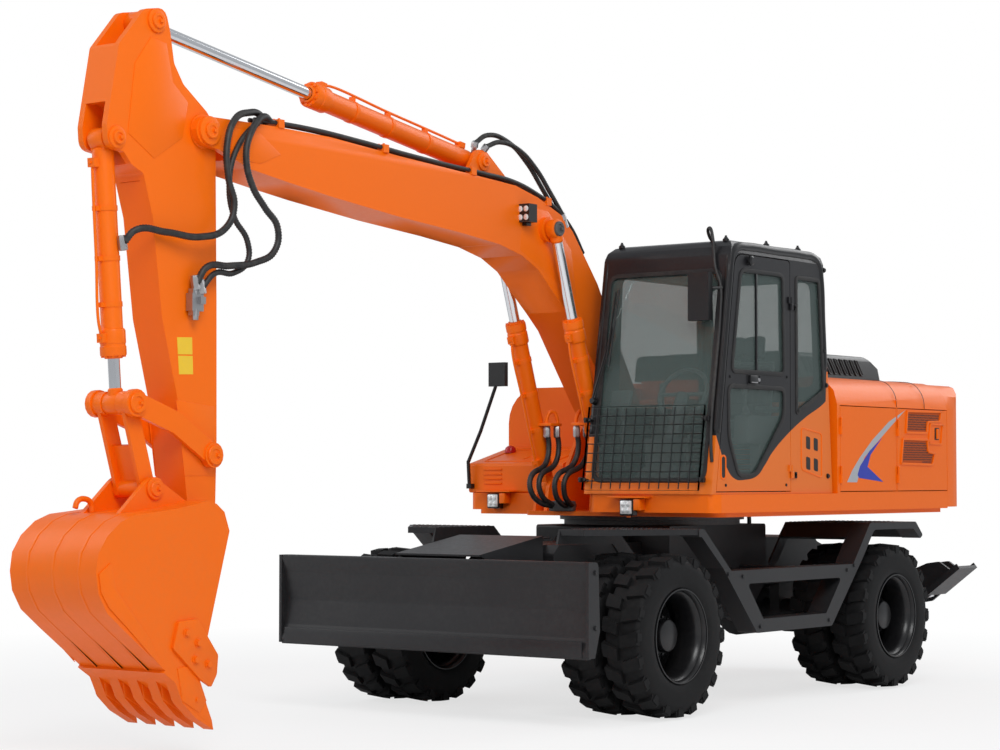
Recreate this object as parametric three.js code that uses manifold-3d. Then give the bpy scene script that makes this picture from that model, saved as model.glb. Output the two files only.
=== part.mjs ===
// Wheeled excavator at full size, in millimetres.
// +X is the machine's left side (the cab side), -Y is its front, +Z is up and the ground is Z = 0.
// Inside the machine group the front axle lies on Y = 0.
import * as THREE from 'three';
import { mergeVertices } from 'three/addons/utils/BufferGeometryUtils.js';
import Module from 'manifold-3d';

const wasm = await Module();
wasm.setup();

// ---------------------------------------------------------------- driving dimensions
const machineLength = { front: -4037, rear: 4170 };
const seatGap = 0.3;
const pinGap = 0.5;
const moveGap = 6;
const halfWidth = 1245;
const wheelbase = 2850;

const tyre = { radius: 526, width: 275, spacing: 330, sides: 24 };
const rim = { radius: 262, flange: 295, disc: 12, hub: 150, hubOut: 205, hubIn: 80 };
const twinCentre = halfWidth - tyre.width / 2 - tyre.spacing / 2;
const axleHeight = tyre.radius * Math.cos(Math.PI / tyre.sides);
const hubFace = twinCentre - rim.hubIn;
const kingpin = { x: 700, radius: 75, half: 130 };
const axleTube = 100;

const beam = { half: 330, bottom: 705, top: 1080, front: -420, rear: 3830 };
const turret = { x: 560, front: 900, rear: 2160, bottom: 580, top: 1190 };
const slew = { y: 1530, radius: 656, hub: 560 };
const deck = { bottom: 1260, plate: 1290, top: 1409.7, front: 620, rear: 3666.7 };
const bodyRear = 3667;

const stepFrame = { inner: 1050, outer: 1200, member: 90 };
const fenderInner = 500;
const fenderPlate = 16;

const bladePivot = [-250, 600];
const bladeFace = -1017;
const bladeBase = [-235, 905];
const bladeEye = [-855, 655];

const outrigger = { y: 3950, pivot: [330, 520], base: [240, 360], eye: [930, 635] };

const armPlane = -110;
const boomHalf = 170;
const armHalf = 115;
const forkGap = 15;
const rockerGap = 10;
const rockerPlate = 30;
const forkInner = armHalf + forkGap;
const rockerInner = armHalf + rockerGap;
const rockerOuter = rockerInner + rockerPlate;
const cylinderOffset = 241;
const joint = {
  boomFoot: [1200, 1920],
  boomBase: [754, 1454],
  boomEye: [171, 3177],
  armBase: [-430, 3578],
  armEye: [-3410, 4045],
  armFoot: [-3045, 3472],
  bucketBase: [-3700, 3366],
  rockerFoot: [-2984, 1646],
  rockerTip: [-3584, 1926],
  linkTip: [-3440, 1460],
  bucketFoot: [-3040, 1270],
};
const bucketHalf = 335;
const bucketWall = 25;

const cab = { right: 215, left: 1220, wall: 45, bottom: 1410, roof: 3090, doorRear: 1390 };
const hood = { half: 1245, top: 2230, shoulder: 200, front: 1990, seam: 2867, rear: 3666.7, wall: 40 };
const sideDoor = { bottom: 1425, top: 2020, thick: 40, gap: 6 };
const tank = { inner: 400, front: 1485, rear: 2350, top: 2180 };

// ---------------------------------------------------------------- paints
const orange = { color: 0xf07818, roughness: 0.35, metalness: 0.1 };
const darkGrey = { color: 0x2f2f31, roughness: 0.5, metalness: 0.2 };
const cabBlack = { color: 0x1c1c1f, roughness: 0.35, metalness: 0.1 };
const rubberBlack = { color: 0x1b1b1b, roughness: 0.9, metalness: 0 };
const chrome = { color: 0xc8ccd0, roughness: 0.15, metalness: 1 };
const glass = { color: 0x5c6f6c, roughness: 0.05, metalness: 0, transparent: true, opacity: 0.4 };
const seatCloth = { color: 0x2a2c2e, roughness: 0.9, metalness: 0 };
const consoleGrey = { color: 0x3a3f41, roughness: 0.7, metalness: 0 };
const castIron = { color: 0x55585a, roughness: 0.6, metalness: 0.5 };

// ---------------------------------------------------------------- making solids
function solid(geometry) {
  const bare = geometry.clone();
  bare.deleteAttribute('normal');
  bare.deleteAttribute('uv');
  const merged = mergeVertices(bare, 1e-3);
  return new wasm.Manifold(new wasm.Mesh({
    numProp: 3,
    vertProperties: new Float32Array(merged.attributes.position.array),
    triVerts: new Uint32Array(merged.index.array),
  }));
}

function join(...solids) {
  return solids.reduce((all, next) => all.add(next));
}

function cut(body, ...tools) {
  return tools.reduce((left, tool) => left.subtract(tool), body);
}

const machine = new THREE.Group();

function part(name, body, paint, parent = machine) {
  const { vertProperties, triVerts } = body.getMesh();
  const geometry = new THREE.BufferGeometry();
  geometry.setAttribute('position', new THREE.BufferAttribute(new Float32Array(vertProperties), 3));
  geometry.setIndex(new THREE.BufferAttribute(new Uint32Array(triVerts), 1));
  geometry.computeVertexNormals();
  const mesh = new THREE.Mesh(geometry, new THREE.MeshStandardMaterial(paint));
  mesh.name = name;
  parent.add(mesh);
  return mesh;
}

// A closed outline whose corners may carry a radius: [a, b] is sharp and [a, b, r] is an arc.
function outline(corners, steps = 3) {
  const points = [];
  corners.forEach(([a, b, radius = 0], index) => {
    const here = new THREE.Vector2(a, b);
    if (radius === 0) {
      points.push(here);
      return;
    }
    const last = corners[(index + corners.length - 1) % corners.length];
    const next = corners[(index + 1) % corners.length];
    const back = new THREE.Vector2(last[0], last[1]).sub(here).normalize();
    const ahead = new THREE.Vector2(next[0], next[1]).sub(here).normalize();
    const half = Math.acos(THREE.MathUtils.clamp(back.dot(ahead), -1, 1)) / 2;
    const reach = radius / Math.tan(half);
    const centre = back.clone().add(ahead).setLength(radius / Math.sin(half)).add(here);
    const start = back.clone().multiplyScalar(reach).add(here).sub(centre);
    const sweep = Math.PI - 2 * half;
    const side = Math.sign(back.cross(ahead)) || 1;
    for (let i = 0; i <= steps; i += 1) {
      const turned = start.clone().rotateAround(new THREE.Vector2(), -side * sweep * (i / steps));
      points.push(turned.add(centre));
    }
  });
  return new THREE.Shape(points);
}

function extruded(corners, depth, steps) {
  return new THREE.ExtrudeGeometry(outline(corners, steps), { depth, bevelEnabled: false, curveSegments: 1 });
}

// Outlines are given as [y, z], [x, z] and [x, y] for plates across X, Y and Z.
function acrossX(corners, x0, x1, steps) {
  const turn = new THREE.Matrix4().makeBasis(
    new THREE.Vector3(0, 1, 0), new THREE.Vector3(0, 0, 1), new THREE.Vector3(1, 0, 0));
  return solid(extruded(corners, x1 - x0, steps).applyMatrix4(turn).translate(x0, 0, 0));
}

function acrossY(corners, y0, y1, steps) {
  const turn = new THREE.Matrix4().makeBasis(
    new THREE.Vector3(1, 0, 0), new THREE.Vector3(0, 0, 1), new THREE.Vector3(0, -1, 0));
  return solid(extruded(corners, y1 - y0, steps).applyMatrix4(turn).translate(0, y1, 0));
}

function acrossZ(corners, z0, z1, steps) {
  return solid(extruded(corners, z1 - z0, steps).translate(0, 0, z0));
}

function block(x0, x1, y0, y1, z0, z1) {
  const box = new THREE.BoxGeometry(x1 - x0, y1 - y0, z1 - z0);
  return solid(box.translate((x0 + x1) / 2, (y0 + y1) / 2, (z0 + z1) / 2));
}

function bar(from, to, radius, sides = 14) {
  const start = new THREE.Vector3(...from);
  const run = new THREE.Vector3(...to).sub(start);
  const geometry = new THREE.CylinderGeometry(radius, radius, run.length(), sides);
  geometry.translate(0, run.length() / 2, 0);
  const turn = new THREE.Quaternion().setFromUnitVectors(
    new THREE.Vector3(0, 1, 0), run.clone().normalize());
  return solid(geometry.applyQuaternion(turn).translate(...from));
}

// The radius of a many-sided hole that a many-sided pin can turn in.
function boreFor(pin, sides = 16) {
  return (pin + pinGap) / Math.cos(Math.PI / sides);
}

// A round bar across X through the point [y, z].
function axle([y, z], radius, x0, x1, sides = 16) {
  return bar([x0, y, z], [x1, y, z], radius, sides);
}

function bothSides(make) {
  return join(make(1), make(-1));
}

function span(side, inner, outer) {
  return side > 0 ? [inner, outer] : [-outer, -inner];
}

// ---------------------------------------------------------------- hydraulic cylinders
// Each is built standing on its base pin: local Z runs from the base pin to the rod eye.
function cylinderSolids(sizes) {
  const { length, barrel, rodRadius, gland, tail, eyeHalf, baseEye, rodEye, basePin, neck } = sizes;
  const collar = Math.min(barrel * 2.2, 160);
  const bore = rodRadius + pinGap;
  const tube = join(
    block(-eyeHalf, eyeHalf, -baseEye * 0.7, baseEye * 0.7, 0, neck + 10),
    bar([0, 0, neck], [0, 0, gland - collar], barrel),
    bar([0, 0, gland - collar], [0, 0, gland], barrel * 1.22),
    axle([0, 0], baseEye, -eyeHalf, eyeHalf),
  );
  const shell = cut(
    tube,
    bar([0, 0, neck + 30], [0, 0, gland + 1], bore),
    axle([0, 0], basePin, -eyeHalf - 1, eyeHalf + 1),
  );
  const rod = join(
    bar([0, 0, tail], [0, 0, length - rodEye * 0.5], rodRadius),
    axle([0, length], rodEye, -eyeHalf, eyeHalf),
  );
  return { shell, rod };
}

function standAt(mesh, [y0, z0], [y1, z1], x = 0) {
  mesh.position.set(x, y0, z0);
  mesh.rotation.x = Math.atan2(y0 - y1, z1 - z0);
}

function pinDistance([y0, z0], [y1, z1]) {
  return Math.hypot(y1 - y0, z1 - z0);
}

function hydraulicCylinder(name, from, to, sizes, parent, x = 0) {
  const { shell, rod } = cylinderSolids({ ...sizes, length: pinDistance(from, to) });
  standAt(part(`${name}_barrel`, shell, sizes.paint, parent), from, to, x);
  standAt(part(`${name}_rod`, rod, chrome, parent), from, to, x);
}

// ---------------------------------------------------------------- twin wheels
// One turned body: two tyres on one rim, a disc between them and a hub through it.
function twinWheel() {
  const near = (tyre.spacing - tyre.width) / 2;
  const far = near + tyre.width;
  const upper = [
    [0, rim.hubOut],
    [rim.hub * 0.8, rim.hubOut],
    [rim.hub, rim.hubOut * 0.4],
    [rim.hub, rim.disc],
    [rim.radius, rim.disc],
    [rim.radius, far - 30],
    [rim.flange, far - 4],
    [tyre.radius * 0.76, far],
    [tyre.radius * 0.96, far - 26],
    [tyre.radius, far - 62],
    [tyre.radius, near + 62],
    [tyre.radius * 0.96, near + 26],
    [tyre.radius * 0.76, near],
    [rim.flange + 5, near - 10],
  ];
  const lower = [
    [rim.flange + 5, 10 - near],
    [tyre.radius * 0.76, -near],
    [tyre.radius * 0.96, -near - 26],
    [tyre.radius, -near - 62],
    [tyre.radius, 62 - far],
    [tyre.radius * 0.96, 26 - far],
    [tyre.radius * 0.76, -far],
    [rim.flange, 4 - far],
    [rim.radius, 30 - far],
    [rim.radius, -rim.disc],
    [rim.hub, -rim.disc],
    [rim.hub, -rim.hubIn],
    [0, -rim.hubIn],
  ];
  const profile = [...upper, ...lower].map(([radius, height]) => new THREE.Vector2(radius, height));
  const turned = new THREE.LatheGeometry(profile.reverse(), tyre.sides);
  turned.rotateY(Math.PI / tyre.sides);
  return solid(turned);
}

for (const [end, y] of [['front', 0], ['rear', wheelbase]]) {
  for (const side of [1, -1]) {
    const name = `wheel_${end}_${side > 0 ? 'left' : 'right'}`;
    const wheel = part(name, twinWheel(), rubberBlack);
    wheel.position.set(side * twinCentre, y, axleHeight);
    wheel.rotation.z = side > 0 ? -Math.PI / 2 : Math.PI / 2;
  }
}

// ---------------------------------------------------------------- chassis
const noseHalf = 235;
const bladeArm = { inner: 241, outer: 321 };
const frameSide = [
  [beam.front + 120, 540, 30],
  [beam.front + 90, 640],
  [beam.front + 60, 940, 40],
  [-150, beam.top, 60],
  [640, beam.top],
  [760, turret.top - 30],
  [2300, turret.top - 30],
  [2420, beam.top],
  [3300, beam.top, 80],
  [beam.rear, 920],
  [beam.rear, 620],
  [3500, beam.bottom],
  [-195, beam.bottom],
  [-195, 540, 30],
];
const nose = acrossX(frameSide, -noseHalf, noseHalf);
const shoulders = acrossX([
  [-120, beam.bottom + 30],
  [-120, beam.top - 60, 40],
  [-60, beam.top - seatGap],
  [3250, beam.top - seatGap],
  [3450, 900],
  [3450, beam.bottom + 30],
], -beam.half, beam.half);
const turretBox = acrossX([
  [turret.front, turret.bottom + 200],
  [turret.front, turret.top, 20],
  [turret.rear, turret.top, 20],
  [turret.rear, turret.bottom + 200],
  [turret.rear - 200, turret.bottom],
  [turret.front + 200, turret.bottom],
], -turret.x, turret.x);
const outriggerBrackets = join(...[[-120, -90.5], [90.5, 120]].map(([y0, y1]) => acrossY([
  [-400, 460, 40], [-400, 580, 40], [-180, 640], [180, 640], [400, 580, 40], [400, 460, 40],
  [300, 300, 50], [-300, 300, 50],
], outrigger.y + y0, outrigger.y + y1)));
const outriggerPins = bothSides((side) => join(
  bar([side * outrigger.pivot[0], outrigger.y - 110, outrigger.pivot[1]],
    [side * outrigger.pivot[0], outrigger.y + 110, outrigger.pivot[1]], 28),
  bar([side * outrigger.base[0], outrigger.y - 110, outrigger.base[1]],
    [side * outrigger.base[0], outrigger.y + 110, outrigger.base[1]], 22),
));
const rearBox = acrossX([
  [beam.rear - 60, 340, 40], [outrigger.y + 125, 340, 40], [outrigger.y + 125, 790, 60], [beam.rear - 60, 910],
], -150, 150);
const bladePins = axle(bladePivot, 34, -345, 345);
const bladePinCaps = bothSides((side) => axle(bladePivot, 52, ...span(side, 321.5, 345)));
const bladeBaseSlot = acrossX([
  [-140, 840], [-225, 800], [-420, 600], [-500, 600], [-500, 1200], [-140, 1200],
], -45, 45);
const bladeBasePin = axle(bladeBase, 22, -60, 60);
const crossMembers = join(
  block(-stepFrame.inner + seatGap, stepFrame.inner - seatGap, 1180, 1290, 825, 900),
  block(-stepFrame.inner + seatGap, stepFrame.inner - seatGap, 1800, 1910, 825, 900),
);
part('chassis_frame', join(
  cut(nose, bladeBaseSlot), shoulders, turretBox, outriggerBrackets, outriggerPins, rearBox,
  bladePins, bladePinCaps, bladeBasePin, crossMembers,
), darkGrey);

part('slew_ring', join(
  acrossZ(circle(slew.radius - 30), turret.top + seatGap, 1225),
  acrossZ(circle(slew.radius), 1225, deck.bottom - seatGap),
), castIron).position.y = slew.y;

function circle(radius, sides = 28) {
  return Array.from({ length: sides }, (_, i) => {
    const angle = (i / sides) * 2 * Math.PI;
    return [radius * Math.cos(angle), radius * Math.sin(angle)];
  });
}

part('blade_cover', join(
  acrossX([[-915, 1038], [-250, 1143], [-250, 1131], [-915, 1026]], -340, 340),
  bothSides((side) => acrossX(
    [[-905, 1030], [-250, 1135], [-250, 980], [-700, 950]], ...span(side, 332, 340))),
  block(-340, 340, -262, -250, 1020, 1140),
  block(-340, 340, -262, -170, 1120, 1132),
  acrossX([[-262, 1120], [-170, 1120], [-110, beam.top + seatGap], [-250, beam.top + seatGap]], -120, 120),
), darkGrey);

// ---------------------------------------------------------------- axles, knuckles, drive line
const yokeReach = kingpin.x + kingpin.radius;
const frontAxle = join(
  bar([-590, 0, axleHeight], [590, 0, axleHeight], axleTube),
  bar([0, -165, axleHeight], [0, 190, axleHeight], 170, 18),
  block(-90, 90, -140, 140, axleHeight, beam.bottom - seatGap),
  bothSides((side) => join(
    block(...span(side, 570, 615), -75, 75, axleHeight - 165, axleHeight + 165),
    block(...span(side, 600, yokeReach), -60, 60, axleHeight + kingpin.half + pinGap, axleHeight + 165),
    block(...span(side, 600, yokeReach), -60, 60, axleHeight - 165, axleHeight - kingpin.half - pinGap),
  )),
);
part('front_axle', frontAxle, darkGrey);

const rearAxle = join(
  bar([-hubFace + pinGap, 0, axleHeight], [hubFace - pinGap, 0, axleHeight], axleTube),
  bar([0, -190, axleHeight], [0, 190, axleHeight], 178, 18),
  bothSides((side) => block(
    ...span(side, noseHalf + 5, 320), -100, 100, axleHeight, beam.bottom + 30 - seatGap)),
);
part('rear_axle', rearAxle, darkGrey).position.y = wheelbase;

for (const side of [1, -1]) {
  const knuckle = join(
    bar([0, 0, -kingpin.half], [0, 0, kingpin.half], kingpin.radius - 5),
    bar([0, 0, 0], [side * (hubFace - kingpin.x - pinGap), 0, 0], 58),
    block(...span(side, 20, 60), 40, 190, -40, 0),
  );
  const name = `steering_knuckle_${side > 0 ? 'left' : 'right'}`;
  part(name, knuckle, darkGrey).position.set(side * kingpin.x, 0, axleHeight);
}

part('drive_line', join(
  bar([0, 190 + pinGap, axleHeight], [0, 1400, axleHeight], 38, 12),
  bar([0, 190 + pinGap, axleHeight], [0, 260, axleHeight], 70, 12),
  bar([0, 1390, axleHeight], [0, wheelbase - 190 - pinGap, axleHeight], 38, 12),
  bar([0, wheelbase - 260, axleHeight], [0, wheelbase - 190 - pinGap, axleHeight], 70, 12),
  block(-150, 150, 1350, 1720, 400, turret.bottom - seatGap),
), castIron);

// ---------------------------------------------------------------- fenders and step frames
const stepTop = 910;
const stepBottom = 490;
function stepSide() {
  const rear = wheelbase;
  const truss = [
    [270, 1190, 8], [330, 1190, 20], [660, stepTop, 20], [rear - 560, stepTop, 20],
    [rear - 310, 1195, 20], [rear + 390, 1195, 30], [rear + 500, 1095, 10], [rear + 460, 1070, 10],
    [rear + 350, 1145, 30], [rear - 250, 1145, 60], [rear - 410, 960, 20], [rear - 870, stepBottom, 30],
    [980, stepBottom, 30], [560, 930, 30], [300, 1140, 20], [270, 1140, 8],
  ];
  const window = [
    [860, stepTop - stepFrame.member, 15], [rear - 730, stepTop - stepFrame.member, 15],
    [rear - 950, stepBottom + stepFrame.member, 15], [1060, stepBottom + stepFrame.member, 15],
  ];
  const frame = cut(
    acrossX(truss, stepFrame.inner, stepFrame.outer, 2),
    acrossX(window, stepFrame.inner - 1, stepFrame.outer + 1, 2),
  );
  const frontDeck = acrossZ([
    [fenderInner, -300], [720, -330], [stepFrame.outer, 285], [stepFrame.outer, 325], [fenderInner, 325],
  ], 1150, 1190);
  const frontSide = acrossX([
    [-330, 1095], [-300, 1190], [330, 1190], [660, stepTop], [640, 860], [540, 860], [290, 1085],
  ], fenderInner, fenderInner + fenderPlate);
  const rearDeck = acrossX([
    [rear - 410, 1090], [rear - 310, 1195], [rear + 390, 1195], [rear + 500, 1095], [rear + 480, 1075],
    [rear + 380, 1168], [rear - 295, 1168], [rear - 385, 1075],
  ], fenderInner, stepFrame.inner + 10);
  const rearSide = acrossX([
    [rear - 560, stepTop], [rear - 310, 1195], [rear + 300, 1195], [rear + 300, 1090], [rear - 290, 1090],
    [rear - 440, 920], [rear - 540, 860],
  ], fenderInner, fenderInner + fenderPlate);
  return join(frame, frontDeck, frontSide, rearDeck, rearSide);
}
part('step_frame_left', stepSide(), darkGrey);
part('step_frame_right', mirrored(stepSide()), darkGrey);

function mirrored(body) {
  const { vertProperties, triVerts } = body.getMesh();
  const flipped = Float32Array.from(vertProperties, (value, i) => (i % 3 === 0 ? -value : value));
  const turned = Uint32Array.from(triVerts, (_, i) => triVerts[i - (i % 3) + 2 - (i % 3)]);
  return new wasm.Manifold(new wasm.Mesh({ numProp: 3, vertProperties: flipped, triVerts: turned }));
}

// ---------------------------------------------------------------- dozer blade
const bladeSide = [
  [bladeFace, 432], [bladeFace - 6, 470], [bladeFace + 22, 560, 60], [bladeFace + 46, 730, 120],
  [bladeFace + 22, 900, 60], [bladeFace - 6, 990], [bladeFace, 1013], [bladeFace + 80, 1013],
  [bladeFace + 92, 900], [bladeFace + 110, 730], [bladeFace + 92, 560], [bladeFace + 40, 432],
];
const bladeEnd = [
  [bladeFace - 8, 440], [bladeFace - 8, 1013], [bladeFace + 95, 1013, 30], [bladeFace + 110, 600],
  [bladeFace + 60, 440],
];
const bladeArmSide = [
  [bladePivot[0] + 62, bladePivot[1] + 20, 20], [bladePivot[0] + 20, bladePivot[1] + 62, 20],
  [bladeFace + 100, 720], [bladeFace + 100, 500], [bladePivot[0] + 20, bladePivot[1] - 62, 20],
  [bladePivot[0] + 62, bladePivot[1] - 20, 20],
];
const bladeEyeEars = bothSides((side) => acrossX([
  [bladeFace + 100, 560], [bladeFace + 100, 740], [bladeEye[0] + 35, bladeEye[1] + 45, 25],
  [bladeEye[0] + 35, bladeEye[1] - 45, 25],
], ...span(side, 40, 58)));
part('dozer_blade', join(
  acrossX(bladeSide, 20 - halfWidth, halfWidth - 20),
  bothSides((side) => acrossX(bladeEnd, ...span(side, halfWidth - 22, halfWidth))),
  bothSides((side) => cut(
    acrossX(bladeArmSide, ...span(side, bladeArm.inner, bladeArm.outer)),
    axle(bladePivot, boreFor(34), ...span(side, bladeArm.inner - 1, bladeArm.outer + 1)),
  )),
  bothSides((side) => block(...span(side, 56, bladeArm.inner + 10), bladeFace + 95, bladeFace + 130, 560, 740)),
  bladeEyeEars,
), darkGrey);

hydraulicCylinder('blade_cylinder', bladeBase, bladeEye, {
  barrel: 40, rodRadius: 22, gland: 500, tail: 330, eyeHalf: 39.5, baseEye: 40, rodEye: 38, neck: 45,
  basePin: boreFor(22), paint: darkGrey,
}, machine);

// ---------------------------------------------------------------- outriggers
// The leg's outlines are given from its pivot. The foot plate lies tilted up and outward.
const legCheek = [
  [-60, -30, 30], [-60, 40, 30], [0, 85, 40], [640, 345, 40], [740, 360, 40], [880, 268], [690, 122],
  [600, 50, 40], [520, 35], [80, -60, 30],
];
const legTop = [[40, 80], [640, 337], [648, 317], [48, 60]];
const footPlate = [[675, 103], [943, 312], [928, 331], [660, 122]];
const footLip = [[675, 103], [943, 312], [915, 348], [647, 139]];
const outriggerLeg = join(
  ...[[-90, -65], [65, 90]].map(([y0, y1]) => cut(
    acrossY(legCheek, y0, y1),
    bar([0, y0 - 1, 0], [0, y1 + 1, 0], boreFor(28, 14)),
  )),
  acrossY(legTop, -90, 90),
  acrossY(footPlate, -150, 150),
  acrossY(footLip, -150, -138),
  acrossY(footLip, 138, 150),
);

for (const side of [1, -1]) {
  const label = side > 0 ? 'left' : 'right';
  const bay = new THREE.Group();
  bay.position.y = outrigger.y;
  bay.rotation.z = side > 0 ? 0 : Math.PI;
  machine.add(bay);
  const leg = part(`outrigger_leg_${label}`, outriggerLeg, darkGrey, bay);
  leg.position.set(outrigger.pivot[0], 0, outrigger.pivot[1]);
  const stand = new THREE.Group();
  stand.rotation.z = Math.PI / 2;
  bay.add(stand);
  const [bx, bz] = outrigger.base;
  const [ex, ez] = outrigger.eye;
  hydraulicCylinder(`outrigger_cylinder_${label}`, [-bx, bz], [-ex, ez], {
    barrel: 42, rodRadius: 24, gland: 530, tail: 400, eyeHalf: 64.5, baseEye: 42, rodEye: 40, neck: 50,
    basePin: boreFor(22), paint: darkGrey,
  }, stand);
}

// ---------------------------------------------------------------- upper deck and boom brackets
const bracket = { inner: boomHalf + moveGap, thick: 28 };
const outerEar = { inner: cylinderOffset + 33, thick: 22 };
const footPin = 45;
const basePin = 34;
const bracketSide = [
  [650, deck.plate - 10], [680, joint.boomBase[1] + 10, 60], [joint.boomBase[0], joint.boomBase[1] + 82, 50],
  [joint.boomBase[0] + 82, joint.boomBase[1] + 30, 20], [1080, 1880, 30], [1095, 2040, 90], [1310, 2040, 90],
  [1420, deck.plate - 10],
];
const earSide = [
  [650, deck.plate - 10], [690, joint.boomBase[1] + 60, 60], [820, joint.boomBase[1] + 60, 60],
  [880, deck.plate - 10],
];
const deckSolids = join(
  acrossZ([
    [-1150, 1000, 60], [-450, 1000], [-450, deck.front, 40], [halfWidth - 60, deck.front - 80, 80],
    [halfWidth - 60, deck.rear], [-halfWidth + 60, deck.rear], [-1190, 1200, 60],
  ], deck.bottom, deck.plate + 1),
  acrossZ([
    [cab.right - 10, 470, 60], [cab.right + 60, 395, 60], [halfWidth - 40, 395, 50], [halfWidth, 460, 50],
    [halfWidth, deck.rear], [cab.right - 10, deck.rear],
  ], deck.plate, deck.top),
  acrossZ([
    [-halfWidth, 1040, 60], [-halfWidth + 60, 1000, 60], [-tank.inner, 1000], [-tank.inner, deck.rear],
    [-halfWidth, deck.rear],
  ], deck.plate, deck.top),
  block(-tank.inner - 1, cab.right - 9, 1600, deck.rear, deck.plate, deck.top),
);
const brackets = join(
  bothSides((side) => acrossX(bracketSide, ...span(side, bracket.inner, bracket.inner + bracket.thick))),
  bothSides((side) => acrossX(earSide, ...span(side, outerEar.inner, outerEar.inner + outerEar.thick))),
  axle(joint.boomFoot, footPin, -bracket.inner - 46, bracket.inner + 46),
  bothSides((side) => axle(
    joint.boomBase, basePin, ...span(side, bracket.inner + 5, outerEar.inner + outerEar.thick + 8), 16)),
  block(-bracket.inner - 5, bracket.inner + 5, 1370, 1400, deck.plate - 5, 1700),
);
function shifted(body, x, y, z) {
  const { vertProperties, triVerts } = body.getMesh();
  const offset = [x, y, z];
  const moved = Float32Array.from(vertProperties, (value, i) => value + offset[i % 3]);
  return new wasm.Manifold(new wasm.Mesh({ numProp: 3, vertProperties: moved, triVerts }));
}
part('upper_deck', join(deckSolids, shifted(brackets, armPlane, 0, 0)), orange);

// ---------------------------------------------------------------- counterweight, hood, engine, tanks
const weightPlan = [
  [-halfWidth, bodyRear], [halfWidth, bodyRear], [halfWidth, 3900, 300], [1020, 4080, 260],
  [0, machineLength.rear], [-1020, 4080, 260], [-halfWidth, 3900, 300],
];
const weightSide = [
  [bodyRear, 1300, 0], [4130, 1300, 60], [machineLength.rear + 2, 1420, 60],
  [machineLength.rear + 2, 2100, 100], [4080, hood.top - 10, 60], [bodyRear, hood.top - 10],
];
const weightFront = [
  [-halfWidth, 1300], [halfWidth, 1300], [halfWidth, hood.top, hood.shoulder],
  [-halfWidth, hood.top, hood.shoulder],
];
part('counterweight', acrossZ(weightPlan, 1290, hood.top + 20)
  .intersect(acrossX(weightSide, -halfWidth - 1, halfWidth + 1))
  .intersect(acrossY(weightFront, bodyRear - 1, machineLength.rear + 10)), orange);

const hoodBase = deck.top + seatGap;
const hoodFrom = hood.half;
const hoodFrontFace = [
  [-hoodFrom, hoodBase], [hoodFrom, hoodBase], [hoodFrom, hood.top, hood.shoulder],
  [-hoodFrom, hood.top, hood.shoulder],
];
const hoodHollow = [
  [-hoodFrom + hood.wall, hoodBase - 1], [hoodFrom - hood.wall, hoodBase - 1],
  [hoodFrom - hood.wall, hood.top - hood.wall, hood.shoulder - hood.wall],
  [-hoodFrom + hood.wall, hood.top - hood.wall, hood.shoulder - hood.wall],
];
const doorways = [
  { name: 'side_door_left_front', side: 1, from: hood.front + hood.wall, to: hood.seam - 6 },
  { name: 'side_door_left_rear', side: 1, from: hood.seam + 6, to: bodyRear },
  { name: 'side_door_right', side: -1, from: tank.rear + 48, to: bodyRear },
];
const doorCuts = doorways.map(({ side, from, to }) => block(
  ...span(side, hoodFrom - 200, hoodFrom + 1), from, to,
  sideDoor.bottom - sideDoor.gap, sideDoor.top + sideDoor.gap));
// Half a hinge at a doorway's front edge: its leaf points back for the door and forward for the frame.
function hingeHalf(x, y, z, leaf, radius = 8) {
  const [z0, z1] = leaf > 0 ? [z + 0.25, z + 60] : [z - 60, z - 0.25];
  const [y0, y1] = leaf > 0 ? [y, y + 25] : [y - 12, y];
  return join(
    bar([x, y, z0], [x, y, z1], radius, 10),
    block(x > 0 ? x - 13 : x - 1, x > 0 ? x + 1 : x + 13, y0, y1, z0, z1),
  );
}
const hingeLevels = [1540, 1880];
const hingeX = hoodFrom + 10;
const frameHinges = join(...doorways.flatMap(({ side, from }) => hingeLevels.map(
  (z) => hingeHalf(side * hingeX, from + 2.5, z, -1))));
const hoodBody = cut(
  acrossY(hoodFrontFace, hood.front, hood.rear),
  acrossY(hoodHollow, hood.front + hood.wall, hood.rear - hood.wall),
  block(-hoodFrom - 1, -tank.inner + 5, hood.front - 1, tank.rear + 5, hoodBase - 1, hood.top + 1),
  ...doorCuts,
);
const valveCover = cut(
  acrossX([[1500, hoodBase], [1500, 1960, 60], [1580, 2080, 60], [hood.front + 20, 2080], [hood.front + 20, hoodBase]],
    -tank.inner + 5, cab.right - 12),
  block(-tank.inner + 45, cab.right - 52, 1540, hood.front + 21, hoodBase - 1, 2040),
);
const hoodTankWall = block(-tank.inner + 5, -tank.inner + 45, hood.front, tank.rear + 45, hoodBase, hood.top - 20);
const hoodTankBack = block(-hoodFrom + 2, -tank.inner + 45, tank.rear + 5, tank.rear + 45, hoodBase, sideDoor.top);
const seamPost = join(
  block(hoodFrom - hood.wall, hoodFrom - 0.5, hood.seam - 6, hood.seam + 6, hoodBase, hood.top - 150),
  block(hoodFrom - 95, hoodFrom - 47, hood.seam - 30, hood.seam + 30, hoodBase, hood.top - 90),
  block(hoodFrom - 48, hoodFrom - 20, hood.seam - 6, hood.seam + 6, hoodBase, hood.top - 150),
);
part('engine_hood', join(
  hoodBody, seamPost, valveCover, hoodTankWall, hoodTankBack, frameHinges,
), orange);

part('vent_box', cut(
  acrossY([[-520, hood.top + seatGap], [-500, 2420, 50], [840, 2420, 50], [880, hood.top + seatGap]], 2080, 3300),
  acrossX([[3100, 2450], [3310, 2450], [3310, 2330]], -600, 900),
), cabBlack);

for (const { name, side, from, to } of doorways) {
  part(name, join(
    block(...span(side, hoodFrom - sideDoor.thick, hoodFrom), from + 5, to - 5, sideDoor.bottom, sideDoor.top),
    ...hingeLevels.map((z) => hingeHalf(side * hingeX, from + 2.5, z, 1)),
  ), orange);
}

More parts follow.
